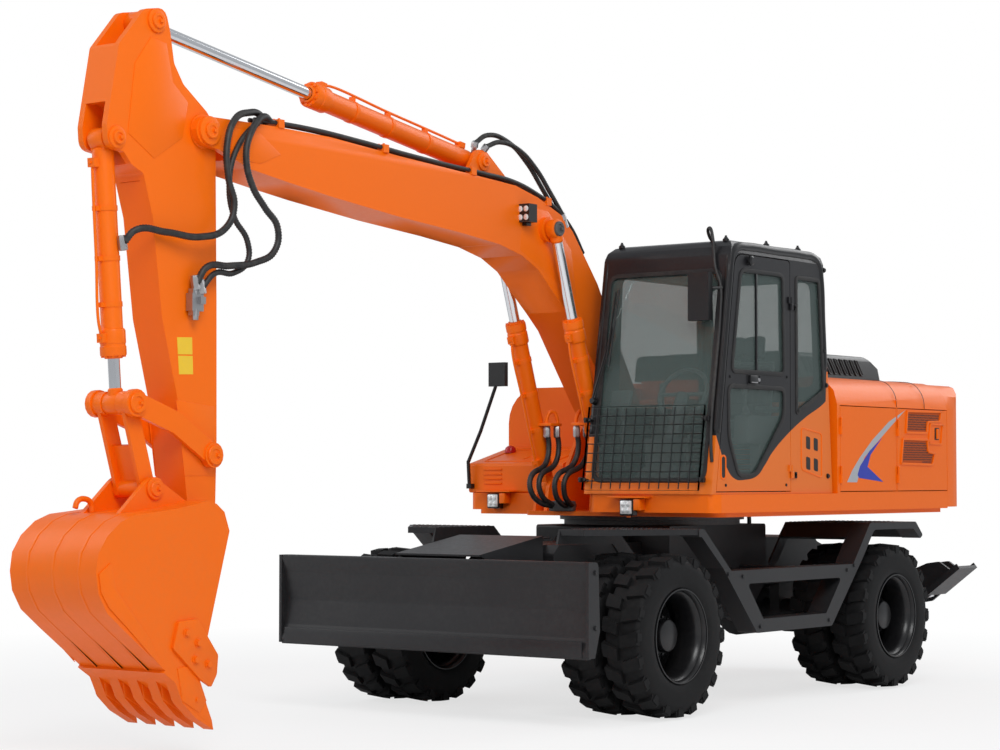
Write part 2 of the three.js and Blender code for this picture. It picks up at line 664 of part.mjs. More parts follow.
part('fuel_tank', acrossY([
  [-hoodFrom, hoodBase], [-hoodFrom, tank.top, 260], [-tank.inner, tank.top, 20], [-tank.inner, hoodBase],
], tank.front, tank.rear, 6), orange);
part('tool_box', acrossX([
  [1000, hoodBase, 20], [1000, 1620, 25], [tank.front - seatGap, 1740], [tank.front - seatGap, hoodBase],
], -hoodFrom + 2, -tank.inner, 3), orange);
part('engine_block', block(-350, 450, 2350, 3350, hoodBase, 2020), castIron);

// ---------------------------------------------------------------- cab
const cabSlope = (637 - 385) / (3010 - cab.bottom);
const cabFront = (z) => 385 + (z - cab.bottom) * cabSlope;
const cabRear = (z) => 1965 - (z - cab.bottom) * 0.0725;
function cabSide(wall, bottom, top, corner) {
  return [
    [cabFront(bottom) + wall, bottom], [cabFront(top) + wall, top, corner],
    [cabRear(top) - wall, top, corner * 0.8], [cabRear(bottom) - wall, bottom],
  ];
}
const cabInside = acrossX(
  cabSide(cab.wall, cab.bottom + cab.wall, cab.roof - cab.wall, 80), cab.right + cab.wall, cab.left - cab.wall);
const cabShell = cut(
  acrossX(cabSide(0, cab.bottom, cab.roof, 130), cab.right, cab.left).intersect(
    acrossY([
      [cab.right, cab.bottom], [cab.right, cab.roof, 90], [cab.left, cab.roof, 90], [cab.left, cab.bottom],
    ], 0, 2200)),
  cabInside,
);
const screen = { bottom: 1500, top: 2880, inset: 62 };
const screenHole = acrossY([
  [cab.right + screen.inset, screen.bottom, 60], [cab.right + screen.inset, screen.top, 60],
  [cab.left - screen.inset, screen.top, 60], [cab.left - screen.inset, screen.bottom, 60],
], 300, 900);
const rearHole = acrossY([
  [cab.right + 90, 2150, 60], [cab.right + 90, 2880, 60], [cab.left - 90, 2880, 60], [cab.left - 90, 2150, 60],
], 1700, 2100);
const rightHole = acrossX([
  [730, 2000, 60], [790, 2880, 60], [1780, 2880, 60], [1810, 2000, 60],
], cab.right - 10, cab.right + 80);
const quarterHole = acrossX([
  [1475, 1950, 30], [1475, 2885, 30], [1790, 2885, 30], [1850, 2120, 40],
], cab.left - 80, cab.left + 10);
const doorGap = 6;
const doorOutline = (grow) => [
  [cabFront(1430) + 60 - grow, 1430 - grow], [cabFront(2990) + 60 - grow, 2990 + grow, 90],
  [cab.doorRear + grow, 2990 + grow, 30], [cab.doorRear + grow, 1430 - grow],
];
const doorHole = acrossX(doorOutline(doorGap), cab.left - 80, cab.left + 10);
const cabHinge = { x: cab.left + 10, y: cab.doorRear + doorGap / 2, levels: [1560, 2700] };
part('cab_frame', join(cut(cabShell, screenHole, rearHole, rightHole, quarterHole, doorHole),
  ...cabHinge.levels.map((z) => cabHingeHalf(z, -1))), cabBlack);

// The cab door hangs at its rear edge, so its leaf points forward and the frame's points back.
function cabHingeHalf(z, leaf) {
  const [z0, z1] = leaf > 0 ? [z + 0.25, z + 45] : [z - 45, z - 0.25];
  const [y0, y1] = leaf > 0 ? [cabHinge.y - 30, cabHinge.y] : [cabHinge.y, cabHinge.y + 30];
  return join(
    bar([cabHinge.x, cabHinge.y, z0], [cabHinge.x, cabHinge.y, z1], 9, 10),
    block(cab.left - 3, cabHinge.x + 2, y0, y1, z0, z1),
  );
}

const paneEdge = 0.3;
function shrunk(corners, by) {
  const box = new THREE.Box2().setFromPoints(corners.map(([a, b]) => new THREE.Vector2(a, b)));
  const middle = box.getCenter(new THREE.Vector2());
  const size = box.getSize(new THREE.Vector2());
  return corners.map(([a, b, r = 0]) => [
    middle.x + (a - middle.x) * (1 - (2 * by) / size.x),
    middle.y + (b - middle.y) * (1 - (2 * by) / size.y),
    r,
  ]);
}
const paneFrom = 10;
const paneThick = 8;
part('windscreen', acrossY(shrunk([
  [cab.right + screen.inset, screen.bottom, 60], [cab.right + screen.inset, screen.top, 60],
  [cab.left - screen.inset, screen.top, 60], [cab.left - screen.inset, screen.bottom, 60],
], paneEdge), 300, 900).intersect(acrossX([
  [cabFront(1400) + paneFrom, 1400], [cabFront(3000) + paneFrom, 3000],
  [cabFront(3000) + paneFrom + paneThick, 3000], [cabFront(1400) + paneFrom + paneThick, 1400],
], 0, 1400)), glass);
part('rear_window', acrossY(shrunk([
  [cab.right + 90, 2150, 60], [cab.right + 90, 2880, 60], [cab.left - 90, 2880, 60], [cab.left - 90, 2150, 60],
], paneEdge), 1700, 2100).intersect(acrossX([
  [cabRear(2000) - paneFrom, 2000], [cabRear(3000) - paneFrom, 3000],
  [cabRear(3000) - paneFrom - paneThick, 3000], [cabRear(2000) - paneFrom - paneThick, 2000],
], 0, 1400)), glass);
part('right_window', acrossX(shrunk([
  [730, 2000, 60], [790, 2880, 60], [1780, 2880, 60], [1810, 2000, 60],
], paneEdge), cab.right + paneFrom, cab.right + paneFrom + paneThick), glass);
part('quarter_window', acrossX(shrunk([
  [1475, 1950, 30], [1475, 2885, 30], [1790, 2885, 30], [1850, 2120, 40],
], paneEdge), cab.left - paneFrom - paneThick, cab.left - paneFrom), glass);

const doorThick = 42;
const upperPane = [
  [cabFront(2215) + 125, 2215, 30], [cabFront(2890) + 135, 2890, 60], [1300, 2890, 60], [1315, 2215, 30],
];
const lowerPane = [
  [720, 1530, 40], [600, 1780, 60], [600, 2120, 30], [1310, 2120, 30], [1310, 1920, 60], [930, 1530, 60],
];
part('cab_door', join(
  cut(
    acrossX(doorOutline(0), cab.left - doorThick, cab.left),
    acrossX(upperPane, cab.left - 80, cab.left + 10),
    acrossX(lowerPane, cab.left - 80, cab.left + 10),
  ),
  ...cabHinge.levels.map((z) => cabHingeHalf(z, 1)),
), cabBlack);
part('door_glass_upper', acrossX(
  shrunk(upperPane, paneEdge), cab.left - paneFrom - paneThick, cab.left - paneFrom), glass);
part('door_glass_lower', acrossX(
  shrunk(lowerPane, paneEdge), cab.left - paneFrom - paneThick, cab.left - paneFrom), glass);

const seat = { x: 700, half: 240, floor: cab.bottom + cab.wall + seatGap };
part('operator_seat', join(
  acrossX([
    [1120, 1780, 40], [1120, 1900, 50], [1560, 1860, 20], [1640, 2520, 50], [1740, 2500, 50], [1700, 1780, 40],
  ], seat.x - seat.half, seat.x + seat.half),
  block(seat.x - 200, seat.x + 200, 1200, 1650, seat.floor, 1790),
), seatCloth);

const columnTop = [seat.x, 860, 2080];
const columnTilt = new THREE.Vector3(0, 0.42, 0.9).normalize();
const wheelRing = solid(new THREE.TorusGeometry(185, 16, 8, 24)
  .rotateX(-Math.PI / 2 + Math.atan2(0.42, 0.9) * -1 + Math.PI)
  .translate(...columnTop));
part('steering_console', join(
  block(seat.x - 110, seat.x + 110, 560, 760, seat.floor, 1780),
  bar([seat.x, 680, 1740], columnTop, 45, 12),
  wheelRing,
  bar([seat.x - 185, columnTop[1], columnTop[2]], [seat.x + 185, columnTop[1], columnTop[2]], 14, 8),
), consoleGrey);

const guard = { x0: 226, x1: 1143, z0: 1430, z1: 1985, tube: 26 };
const guardY = (z) => cabFront(z) - 40;
const guardSlab = (x0, x1, z0, z1, thick) => acrossX([
  [guardY(z0) - thick / 2, z0], [guardY(z1) - thick / 2, z1], [guardY(z1) + thick / 2, z1],
  [guardY(z0) + thick / 2, z0],
], x0, x1);
const guardBars = [];
for (let i = 1; i < 5; i += 1) {
  const x = guard.x0 + ((guard.x1 - guard.x0) * i) / 5;
  guardBars.push(guardSlab(x - 4, x + 4, guard.z0, guard.z1, 8));
}
for (let i = 1; i < 4; i += 1) {
  const z = guard.z0 + ((guard.z1 - guard.z0) * i) / 4;
  guardBars.push(guardSlab(guard.x0, guard.x1, z - 4, z + 4, 8));
}
const guardFeet = [[guard.x0 + 20, 1500], [guard.x1 - 20, 1500], [guard.x0 + 20, 1900], [guard.x1 - 20, 1900]]
  .map(([x, z]) => bar([x, guardY(z), z], [x, cabFront(z) - seatGap - 9 * cabSlope, z], 9, 8));
part('front_guard', join(
  cut(
    guardSlab(guard.x0, guard.x1, guard.z0, guard.z1, guard.tube),
    guardSlab(guard.x0 + guard.tube, guard.x1 - guard.tube, guard.z0 + guard.tube, guard.z1 - guard.tube, 80),
  ),
  ...guardBars,
  ...guardFeet,
), cabBlack);

part('mirror_left', join(
  block(990, 1150, 470, 520, 2545, 2860),
  bar([1110, 540, 2760], [1188, cabFront(2760) - 11, 2760], 12, 8),
  bar([1100, 500, 2760], [1110, 545, 2760], 14, 8),
), cabBlack);
const mirrorFoot = -1210;
part('mirror_right', join(
  block(mirrorFoot - 20, mirrorFoot + 20, 955, 1000 - seatGap, 1440, 1475),
  bar([mirrorFoot, 965, 1450], [mirrorFoot, 951, 1640], 13, 8),
  bar([mirrorFoot, 951, 1630], [mirrorFoot, 1104, 1866], 13, 8),
  bar([mirrorFoot, 1100, 1860], [mirrorFoot, 1284, 2200], 13, 8),
  block(mirrorFoot - 60, mirrorFoot + 90, 1270, 1310, 2190, 2366),
), cabBlack);

// ---------------------------------------------------------------- boom
const arms = new THREE.Group();
arms.position.x = armPlane;
machine.add(arms);

const boomSide = [
  [1110, 1820, 60], [940, 2024], [541, 2530], [410, 2640, 80], [249, 2765, 80], [79, 2905, 80], [-99, 2985, 80],
  [-345, 3040, 80], [-751, 3082], [-1361, 3130], [-2016, 3198], [-2387, 3245], [-2710, 3290], [-2960, 3372, 60],
  [-3145, 3400, 80], [-3145, 3550, 80], [-2918, 3555], [-2513, 3560], [-2018, 3553], [-1363, 3508],
  [-752, 3475, 100], [-166, 3441, 100], [79, 3385, 100], [352, 3287, 80], [480, 3187, 80], [771, 2852],
  [1290, 2040, 90], [1310, 1860, 90],
];
const armPin = 45;
const boomEarHalf = 75;
const baseEar = [
  [-620, 3440], [-605, 3495, 40], [-500, 3655, 60], [-395, 3645, 50], [-80, 3425],
];
const earInner = boomEarHalf + pinGap;
const boomSolid = join(
  cut(
    acrossX(boomSide, -boomHalf, boomHalf),
    block(-forkInner, forkInner, -3300, -2840, 3200, 3700),
    axle(joint.boomFoot, boreFor(footPin), -boomHalf - 1, boomHalf + 1),
  ),
  axle(joint.armFoot, armPin, -boomHalf - 16, boomHalf + 16),
  bothSides((side) => acrossX(baseEar, ...span(side, earInner, earInner + 28))),
  axle(joint.armBase, 38, -earInner - 42, earInner + 42),
  bothSides((side) => axle(joint.boomEye, 85, ...span(side, boomHalf - 2, cylinderOffset - 41))),
);
part('boom', boomSolid, orange, arms);

// ---------------------------------------------------------------- boom cylinders
for (const [label, side] of [['left', 1], ['right', -1]]) {
  hydraulicCylinder(`boom_cylinder_${label}`, joint.boomBase, joint.boomEye, {
    barrel: 58, rodRadius: 36, gland: 1200, tail: 660, eyeHalf: 32, baseEye: 66, rodEye: 66, neck: 125,
    basePin: boreFor(basePin), paint: orange,
  }, arms, side * cylinderOffset);
}

// ---------------------------------------------------------------- arm cylinder
hydraulicCylinder('arm_cylinder', joint.armBase, joint.armEye, {
  barrel: 66, rodRadius: 37.5, gland: 1620, tail: 1230, eyeHalf: boomEarHalf, baseEye: 70, rodEye: 68, neck: 60,
  basePin: boreFor(38), paint: orange,
}, arms);

// ---------------------------------------------------------------- arm
const armSide = [
  [-3340, 4130, 60], [-3300, 4000, 60], [-3268, 3828, 60], [-3194, 3720, 60], [-3010, 3590, 40],
  [-2925, 3500, 60], [-2935, 3374, 60], [-2921, 2523], [-2915, 1731], [-2925, 1290, 90], [-2990, 1160, 70],
  [-3130, 1180, 70], [-3150, 1405], [-3225, 1949], [-3350, 2400], [-3428, 2963], [-3500, 3190, 30],
  [-3590, 3230, 60], [-3650, 3295, 30], [-3765, 3310, 60], [-3775, 3430, 60], [-3690, 3878, 30],
  [-3500, 4100, 60],
];
const eyeSlot = [
  [-3800, 3920], [-3800, 4300], [-3150, 4300], [-3150, 3780], [-3410, 3815],
];
const bucketSlot = [
  [-3900, 3140], [-3900, 3560], [-3610, 3560, 60], [-3590, 3200, 40], [-3480, 3150],
];
const armSolid = join(
  cut(
    acrossX(armSide, -armHalf, armHalf),
    acrossX(eyeSlot, -earInner, earInner),
    acrossX(bucketSlot, -earInner, earInner),
    axle(joint.armFoot, boreFor(armPin), -armHalf - 1, armHalf + 1),
    axle(joint.rockerFoot, boreFor(34), -armHalf - 1, armHalf + 1),
    axle(joint.bucketFoot, boreFor(38), -armHalf - 1, armHalf + 1),
  ),
  axle(joint.bucketBase, 34, -armHalf - 12, armHalf + 12),
  bothSides((side) => axle(joint.armEye, 46, ...span(side, armHalf - 2, armHalf + 14))),
  bothSides((side) => cut(
    axle(joint.armFoot, 90, ...span(side, armHalf - 2, forkInner - pinGap)),
    axle(joint.armFoot, boreFor(armPin), ...span(side, armHalf - 3, forkInner)),
  )),
  ...[[joint.rockerFoot, 34, 55], [joint.bucketFoot, 38, 85]].map(([at, pin, boss]) => bothSides((side) => cut(
    axle(at, boss, ...span(side, armHalf - 2, rockerInner - pinGap)),
    axle(at, boreFor(pin), ...span(side, armHalf - 3, rockerInner)),
  ))),
);
part('arm', armSolid, orange, arms);

hydraulicCylinder('bucket_cylinder', joint.bucketBase, joint.rockerTip, {
  barrel: 60, rodRadius: 33, gland: 1200, tail: 420, eyeHalf: 56, baseEye: 62, rodEye: 60, neck: 60,
  basePin: boreFor(34), paint: orange,
}, arms);

// ---------------------------------------------------------------- bucket linkage
const linkEye = { inner: 56 + pinGap, outer: rockerInner - pinGap };
function strip([y0, z0], [y1, z1], half, x0, x1, bow = 0) {
  const along = new THREE.Vector2(y1 - y0, z1 - z0).normalize();
  const up = new THREE.Vector2(-along.y, along.x);
  const middle = [(y0 + y1) / 2 + up.x * bow, (z0 + z1) / 2 + up.y * bow];
  const edge = ([y, z], lift, reach) => [y + up.x * lift + along.x * reach, z + up.y * lift + along.y * reach];
  return acrossX([
    edge([y0, z0], half, -half * 0.4), edge(middle, half, 0), edge([y1, z1], half, half * 0.4),
    edge([y1, z1], -half, half * 0.4), edge(middle, -half, 0), edge([y0, z0], -half, -half * 0.4),
  ], x0, x1);
}
part('rocker_links', join(
  bothSides((side) => join(
    strip(joint.rockerFoot, joint.rockerTip, 62, ...span(side, rockerInner, rockerOuter), -40),
    axle(joint.rockerTip, 76, ...span(side, rockerInner, rockerOuter + 12)),
    axle(joint.rockerFoot, 72, ...span(side, rockerInner, rockerOuter + 12)),
    axle(joint.rockerTip, 34, ...span(side, linkEye.inner + 2, rockerInner + 5)),
  )),
  axle(joint.rockerFoot, 34, -rockerOuter, rockerOuter),
), orange, arms);

const linkMid = [
  joint.rockerTip[0] + (joint.linkTip[0] - joint.rockerTip[0]) * 0.5,
  joint.rockerTip[1] + (joint.linkTip[1] - joint.rockerTip[1]) * 0.5,
];
part('bucket_link', cut(
  join(
    bothSides((side) => join(
      strip(joint.rockerTip, joint.linkTip, 52, ...span(side, 82, 108)),
      axle(joint.rockerTip, 66, ...span(side, linkEye.inner, linkEye.outer)),
    )),
    axle(joint.linkTip, 52, -linkEye.outer, linkEye.outer),
    strip(linkMid, joint.linkTip, 14, -90, 90),
  ),
  ...[1, -1].map((side) => axle(joint.rockerTip, boreFor(34), ...span(side, linkEye.inner - 1, linkEye.outer + 1))),
), orange, arms);

// ---------------------------------------------------------------- bucket
const bucketBack = [
  [-3211, 1392], [-3273, 1380], [-3437, 1352], [-3614, 1335], [-3756, 1322], [-3862, 1285], [-3961, 1210],
  [-4022, 1120], [-4037, 1018], [-4020, 914], [-3957, 809], [-3827, 707], [-3509, 470],
];
const bucketMouth = [[-3330, 335], [-3285, 415], [-3222, 590], [-3036, 1224], [-3077, 1330], [-3140, 1376]];
function inward(points, by) {
  return points.map(([a, b], i) => {
    const last = points[Math.max(i - 1, 0)];
    const next = points[Math.min(i + 1, points.length - 1)];
    const along = new THREE.Vector2(next[0] - last[0], next[1] - last[1]).normalize();
    return [a - along.y * by, b + along.x * by];
  });
}
const bucketShell = cut(
  acrossX([...bucketBack, ...bucketMouth], -bucketHalf, bucketHalf),
  acrossX([...inward(bucketBack, bucketWall), [-3330, 250], [-2900, 300], [-2900, 1500], [-3170, 1500]],
    -bucketHalf + bucketWall, bucketHalf - bucketWall),
);
const ears = bothSides((side) => acrossX([
  [-3720, 1310], [-3500, 1500, 50], [-3440, 1535, 60], [-3375, 1490, 50], [-3160, 1370, 40], [-3040, 1372, 80],
  [-2935, 1300, 80], [-2960, 1180, 80], [-3100, 1170, 60], [-3260, 1330],
], ...span(side, rockerInner, rockerOuter)));
const bucketPins = join(
  axle(joint.bucketFoot, 38, -rockerOuter - 14, rockerOuter + 14),
  bothSides((side) => axle(joint.linkTip, 56, ...span(side, rockerOuter - 2, rockerOuter + 16))),
  bothSides((side) => axle(joint.bucketFoot, 60, ...span(side, rockerOuter - 2, rockerOuter + 14))),
);
const teeth = join(...[-2, -1, 0, 1, 2].map((step) => {
  const x = step * 148;
  return acrossX([
    [-3480, 470], [-3395, 300], [-3300, 215], [-3156, 136], [-3225, 320], [-3300, 420], [-3400, 500],
  ], x - 38, x + 38);
}));
const armNotch = block(-rockerInner, rockerInner, -3215, -2900, 1200, 1500);
const lipPlate = acrossX([[-3540, 470], [-3330, 335], [-3285, 415], [-3500, 520]], -bucketHalf, bucketHalf);
part('bucket', join(cut(bucketShell, armNotch), ears, bucketPins, lipPlate, teeth), orange, arms);

// ---------------------------------------------------------------- whole machine
machine.position.y = -(machineLength.front + machineLength.rear) / 2;
const group = new THREE.Group();
group.add(machine);
group.updateMatrixWorld(true);

export default group;
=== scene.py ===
import math

import bmesh
import bpy
from mathutils import Matrix, Vector


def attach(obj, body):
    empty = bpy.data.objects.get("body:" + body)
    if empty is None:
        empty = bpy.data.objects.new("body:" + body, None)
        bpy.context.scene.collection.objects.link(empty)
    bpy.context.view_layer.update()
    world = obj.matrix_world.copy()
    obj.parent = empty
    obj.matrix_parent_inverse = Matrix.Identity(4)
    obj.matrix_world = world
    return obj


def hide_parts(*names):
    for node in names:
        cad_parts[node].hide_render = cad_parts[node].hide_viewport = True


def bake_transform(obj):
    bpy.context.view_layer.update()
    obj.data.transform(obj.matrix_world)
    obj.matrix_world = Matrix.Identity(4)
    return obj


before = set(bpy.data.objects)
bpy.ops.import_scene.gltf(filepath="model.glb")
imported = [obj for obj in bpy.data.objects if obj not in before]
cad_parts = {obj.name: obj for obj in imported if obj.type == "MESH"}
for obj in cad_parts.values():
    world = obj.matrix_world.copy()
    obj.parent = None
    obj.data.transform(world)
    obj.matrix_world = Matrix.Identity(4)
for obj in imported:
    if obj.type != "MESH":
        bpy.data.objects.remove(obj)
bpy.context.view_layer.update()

# ---- Camera, floor and light
# A plain studio: a pale floor that runs out of sight, one broad key lamp above the front left, a fill from
# the right and an even sky. The camera stands at eye height off the front left corner.
front_axle_y = -0.0665
camera_data = bpy.data.cameras.new("studio_camera")
camera_data.lens = 86.2
camera_data.sensor_width = 36
camera_data.clip_end = 200
camera = bpy.data.objects.new("studio_camera", camera_data)
camera.location = (9.483, -12.731 + front_axle_y, 1.523)
camera.rotation_euler = Vector((-0.60472, 0.79530, 0.04259)).to_track_quat("-Z", "Y").to_euler()
bpy.context.scene.collection.objects.link(camera)
bpy.context.scene.camera = camera
bpy.context.scene.view_settings.view_transform = "Standard"


def node_material(name):
    """An empty node material with its output and Principled shader ready."""
    material = bpy.data.materials.new(name)
    material.use_nodes = True
    nodes, links = material.node_tree.nodes, material.node_tree.links
    return material, nodes, links, nodes["Principled BSDF"]


def add_node(nodes, links, kind, mode=None, **inputs):
    """A shader node of this kind. Inputs given a socket are linked to it, and the others are set."""
    node = nodes.new("ShaderNode" + kind)
    if mode:
        setattr(node, "data_type" if kind == "Mix" else "operation", mode)
    for name, value in inputs.items():
        socket = node.inputs[int(name[-1]) if name.startswith("input") else name.replace("_", " ")]
        if isinstance(value, bpy.types.NodeSocket):
            links.new(value, socket)
        else:
            socket.default_value = value
    return node


floor_mesh = bmesh.new()
bmesh.ops.create_grid(floor_mesh, x_segments=1, y_segments=1, size=60)
floor_data = bpy.data.meshes.new("studio_floor")
floor_mesh.to_mesh(floor_data)
floor = bpy.data.objects.new("studio_floor", floor_data)
bpy.context.scene.collection.objects.link(floor)
floor_material, nodes, links, shader = node_material("studio_floor")
shader.inputs["Base Color"].default_value = (0.86, 0.86, 0.86, 1)
shader.inputs["Roughness"].default_value = 0.9
white = add_node(nodes, links, "Emission", Strength=1.0)
path = add_node(nodes, links, "LightPath").outputs
seen = add_node(nodes, links, "Math", "MAXIMUM", input0=path["Is Camera Ray"],
                input1=path["Is Transmission Ray"])
place = add_node(nodes, links, "TexCoord")
reach = add_node(nodes, links, "VectorMath", "LENGTH", input0=place.outputs["Object"])
far = add_node(nodes, links, "MapRange", From_Min=4.0, From_Max=9.0, To_Min=0.7,
               Value=reach.outputs["Value"])
share = add_node(nodes, links, "Math", "MULTIPLY", input0=seen.outputs[0], input1=far.outputs["Result"])
whitened = add_node(nodes, links, "MixShader", Fac=share.outputs[0], input1=shader.outputs["BSDF"],
                    input2=white.outputs["Emission"])
links.new(whitened.outputs[0], nodes["Material Output"].inputs["Surface"])
floor_data.materials.append(floor_material)

world = bpy.data.worlds.new("studio_sky")
bpy.context.scene.world = world
world.use_nodes = True
nodes, links = world.node_tree.nodes, world.node_tree.links
light_sky = nodes["Background"]
light_sky.inputs["Color"].default_value = (0.93, 0.96, 1.0, 1)
light_sky.inputs["Strength"].default_value = 0.52
white_sky = add_node(nodes, links, "Background", Color=(1, 1, 1, 1), Strength=1.0)
path = add_node(nodes, links, "LightPath").outputs
seen = add_node(nodes, links, "Math", "MAXIMUM", input0=path["Is Camera Ray"],
                input1=path["Is Transmission Ray"])
sky = add_node(nodes, links, "MixShader", Fac=seen.outputs[0], input1=light_sky.outputs["Background"],
               input2=white_sky.outputs["Background"])
links.new(sky.outputs[0], nodes["World Output"].inputs["Surface"])

for lamp_name, where, size, power in (
    ("key_lamp", (9.0, -9.0, 11.0), 7.0, 1060),
    ("fill_lamp", (-10.0, -6.0, 7.0), 8.0, 300),
    ("rear_lamp", (3.0, 12.0, 9.0), 8.0, 460),
):
    lamp_data = bpy.data.lights.new(lamp_name, "AREA")
    lamp_data.size = size
    lamp_data.energy = power
    lamp = bpy.data.objects.new(lamp_name, lamp_data)
    lamp.location = where
    lamp.rotation_euler = (Vector((0, 0, 1.5)) - Vector(where)).to_track_quat("-Z", "Y").to_euler()
    bpy.context.scene.collection.objects.link(lamp)

# ---- Paint, rubber, steel and glass
# Sprayed two-pack paint with a faint orange-peel and road dust, mill-black rubber and hard chrome. Each
# finish is built once here and put on the pieces that carry it.


def worn(material_name, colour, roughness, metallic=0.0, dust=(0.4, 0.36, 0.3), dust_share=0.12,
         grain=900.0, grain_height=0.00012, coat=0.0, patch=1.7, specular=0.5):
    """A painted or bare finish with cloudy colour, uneven gloss, thin dust and a fine grain."""
    material, nodes, links, shader = node_material(material_name)
    shader.inputs["Metallic"].default_value = metallic
    shader.inputs["Coat Weight"].default_value = coat
    shader.inputs["Coat Roughness"].default_value = 0.12
    shader.inputs["Specular IOR Level"].default_value = specular
    spot = add_node(nodes, links, "TexCoord").outputs["Object"]
    cloud = add_node(nodes, links, "TexNoise", Scale=patch, Detail=7.0, Roughness=0.62, Vector=spot)
    speck = add_node(nodes, links, "TexNoise", Scale=34.0, Detail=6.0, Vector=spot)
    amount = add_node(nodes, links, "Math", "MULTIPLY", input0=cloud.outputs["Fac"],
                      input1=speck.outputs["Fac"])
    spread = add_node(nodes, links, "MapRange", From_Min=0.2, From_Max=0.42, To_Max=dust_share,
                      Value=amount.outputs[0])
    tone = add_node(nodes, links, "Mix", "RGBA", A=(*colour, 1), B=(*dust, 1),
                    Factor=spread.outputs["Result"])
    links.new(tone.outputs["Result"], shader.inputs["Base Color"])
    gloss = add_node(nodes, links, "MapRange", To_Min=max(roughness - 0.07, 0.03),
                     To_Max=min(roughness + 0.12, 1.0), Value=speck.outputs["Fac"])
    links.new(gloss.outputs["Result"], shader.inputs["Roughness"])
    fine = add_node(nodes, links, "TexNoise", Scale=grain, Detail=3.0, Vector=spot)
    bump = add_node(nodes, links, "Bump", Strength=0.5, Distance=grain_height, Height=fine.outputs["Fac"])
    links.new(bump.outputs["Normal"], shader.inputs["Normal"])
    return material


orange_paint = worn("orange_paint", (0.94, 0.158, 0.001), 0.36, dust=(0.5, 0.22, 0.08), dust_share=0.03,
                    grain=520.0, grain_height=0.0001, coat=0.06, specular=0.22)
bucket_paint = worn("bucket_paint", (0.93, 0.155, 0.001), 0.38, dust=(0.5, 0.22, 0.08), dust_share=0.07,
                    grain=420.0, coat=0.06, specular=0.25)
dark_paint = worn("dark_paint", (0.016, 0.016, 0.0175), 0.38, dust=(0.1, 0.098, 0.095), dust_share=0.08,
                  grain=300.0, grain_height=0.0002, specular=0.4)
cab_paint = worn("cab_paint", (0.008, 0.008, 0.009), 0.3, dust_share=0.01, coat=0.15, specular=0.4)
cast_grey = worn("cast_grey", (0.075, 0.075, 0.078), 0.55, dust=(0.2, 0.18, 0.15), dust_share=0.3,
                 grain=180.0, grain_height=0.0005)
bare_steel = worn("bare_steel", (0.42, 0.42, 0.43), 0.32, metallic=0.9, dust_share=0.1)
hard_chrome = worn("hard_chrome", (0.78, 0.79, 0.81), 0.1, metallic=1.0, dust_share=0.04, grain=1500.0,
                   grain_height=0.00002)
tyre_rubber = worn("tyre_rubber", (0.0055, 0.0055, 0.006), 0.62, dust=(0.035, 0.034, 0.033), dust_share=0.2,
                   grain=240.0, grain_height=0.0004, specular=0.22)
hose_rubber = worn("hose_rubber", (0.014, 0.014, 0.015), 0.5, dust_share=0.08, grain=700.0)
# Black for the real seals and seam lines, also laid in slots, holes and pockets below as painted shade.
seal_rubber_and_shade = worn("seal_rubber_and_shade", (0.008, 0.008, 0.009), 0.6, dust_share=0.05, grain=800.0)
seat_cloth = worn("seat_cloth", (0.075, 0.08, 0.085), 0.9, dust_share=0.1, grain=1400.0,
                  grain_height=0.0006)
console_plastic = worn("console_plastic", (0.2, 0.22, 0.22), 0.6, dust_share=0.06, grain=1100.0,
                       grain_height=0.0003)

tinted_glass, nodes, links, shader = node_material("tinted_glass")
for socket, value in (("Base Color", (0.1, 0.14, 0.13, 1)), ("Alpha", 0.42), ("IOR", 1.5)):
    shader.inputs[socket].default_value = value
place = add_node(nodes, links, "TexCoord")
smear = add_node(nodes, links, "TexNoise", Scale=3.0, Detail=6.0, Vector=place.outputs["Object"])
smear_gloss = add_node(nodes, links, "MapRange", To_Min=0.01, To_Max=0.03, Value=smear.outputs["Fac"])
links.new(smear_gloss.outputs["Result"], shader.inputs["Roughness"])


def finish_node(name, material, bevel=0.004, smooth=35):
    """A CAD node gets its finish, eased edges and smooth shading over its curved faces."""
    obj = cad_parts[name]
    obj.data.materials.clear()
    obj.data.materials.append(material)
    weld = obj.modifiers.new("weld", "WELD")
    weld.merge_threshold = 0.00005
    if bevel:
        ease = obj.modifiers.new("eased_edges", "BEVEL")
        ease.width = bevel
        ease.segments = 2
        ease.limit_method = "ANGLE"
        ease.angle_limit = math.radians(smooth)
        ease.harden_normals = False
    obj.data.polygons.foreach_set("use_smooth", [True] * len(obj.data.polygons))
    flats = obj.modifiers.new("even_shading", "WEIGHTED_NORMAL")
    flats.keep_sharp = False
    return obj


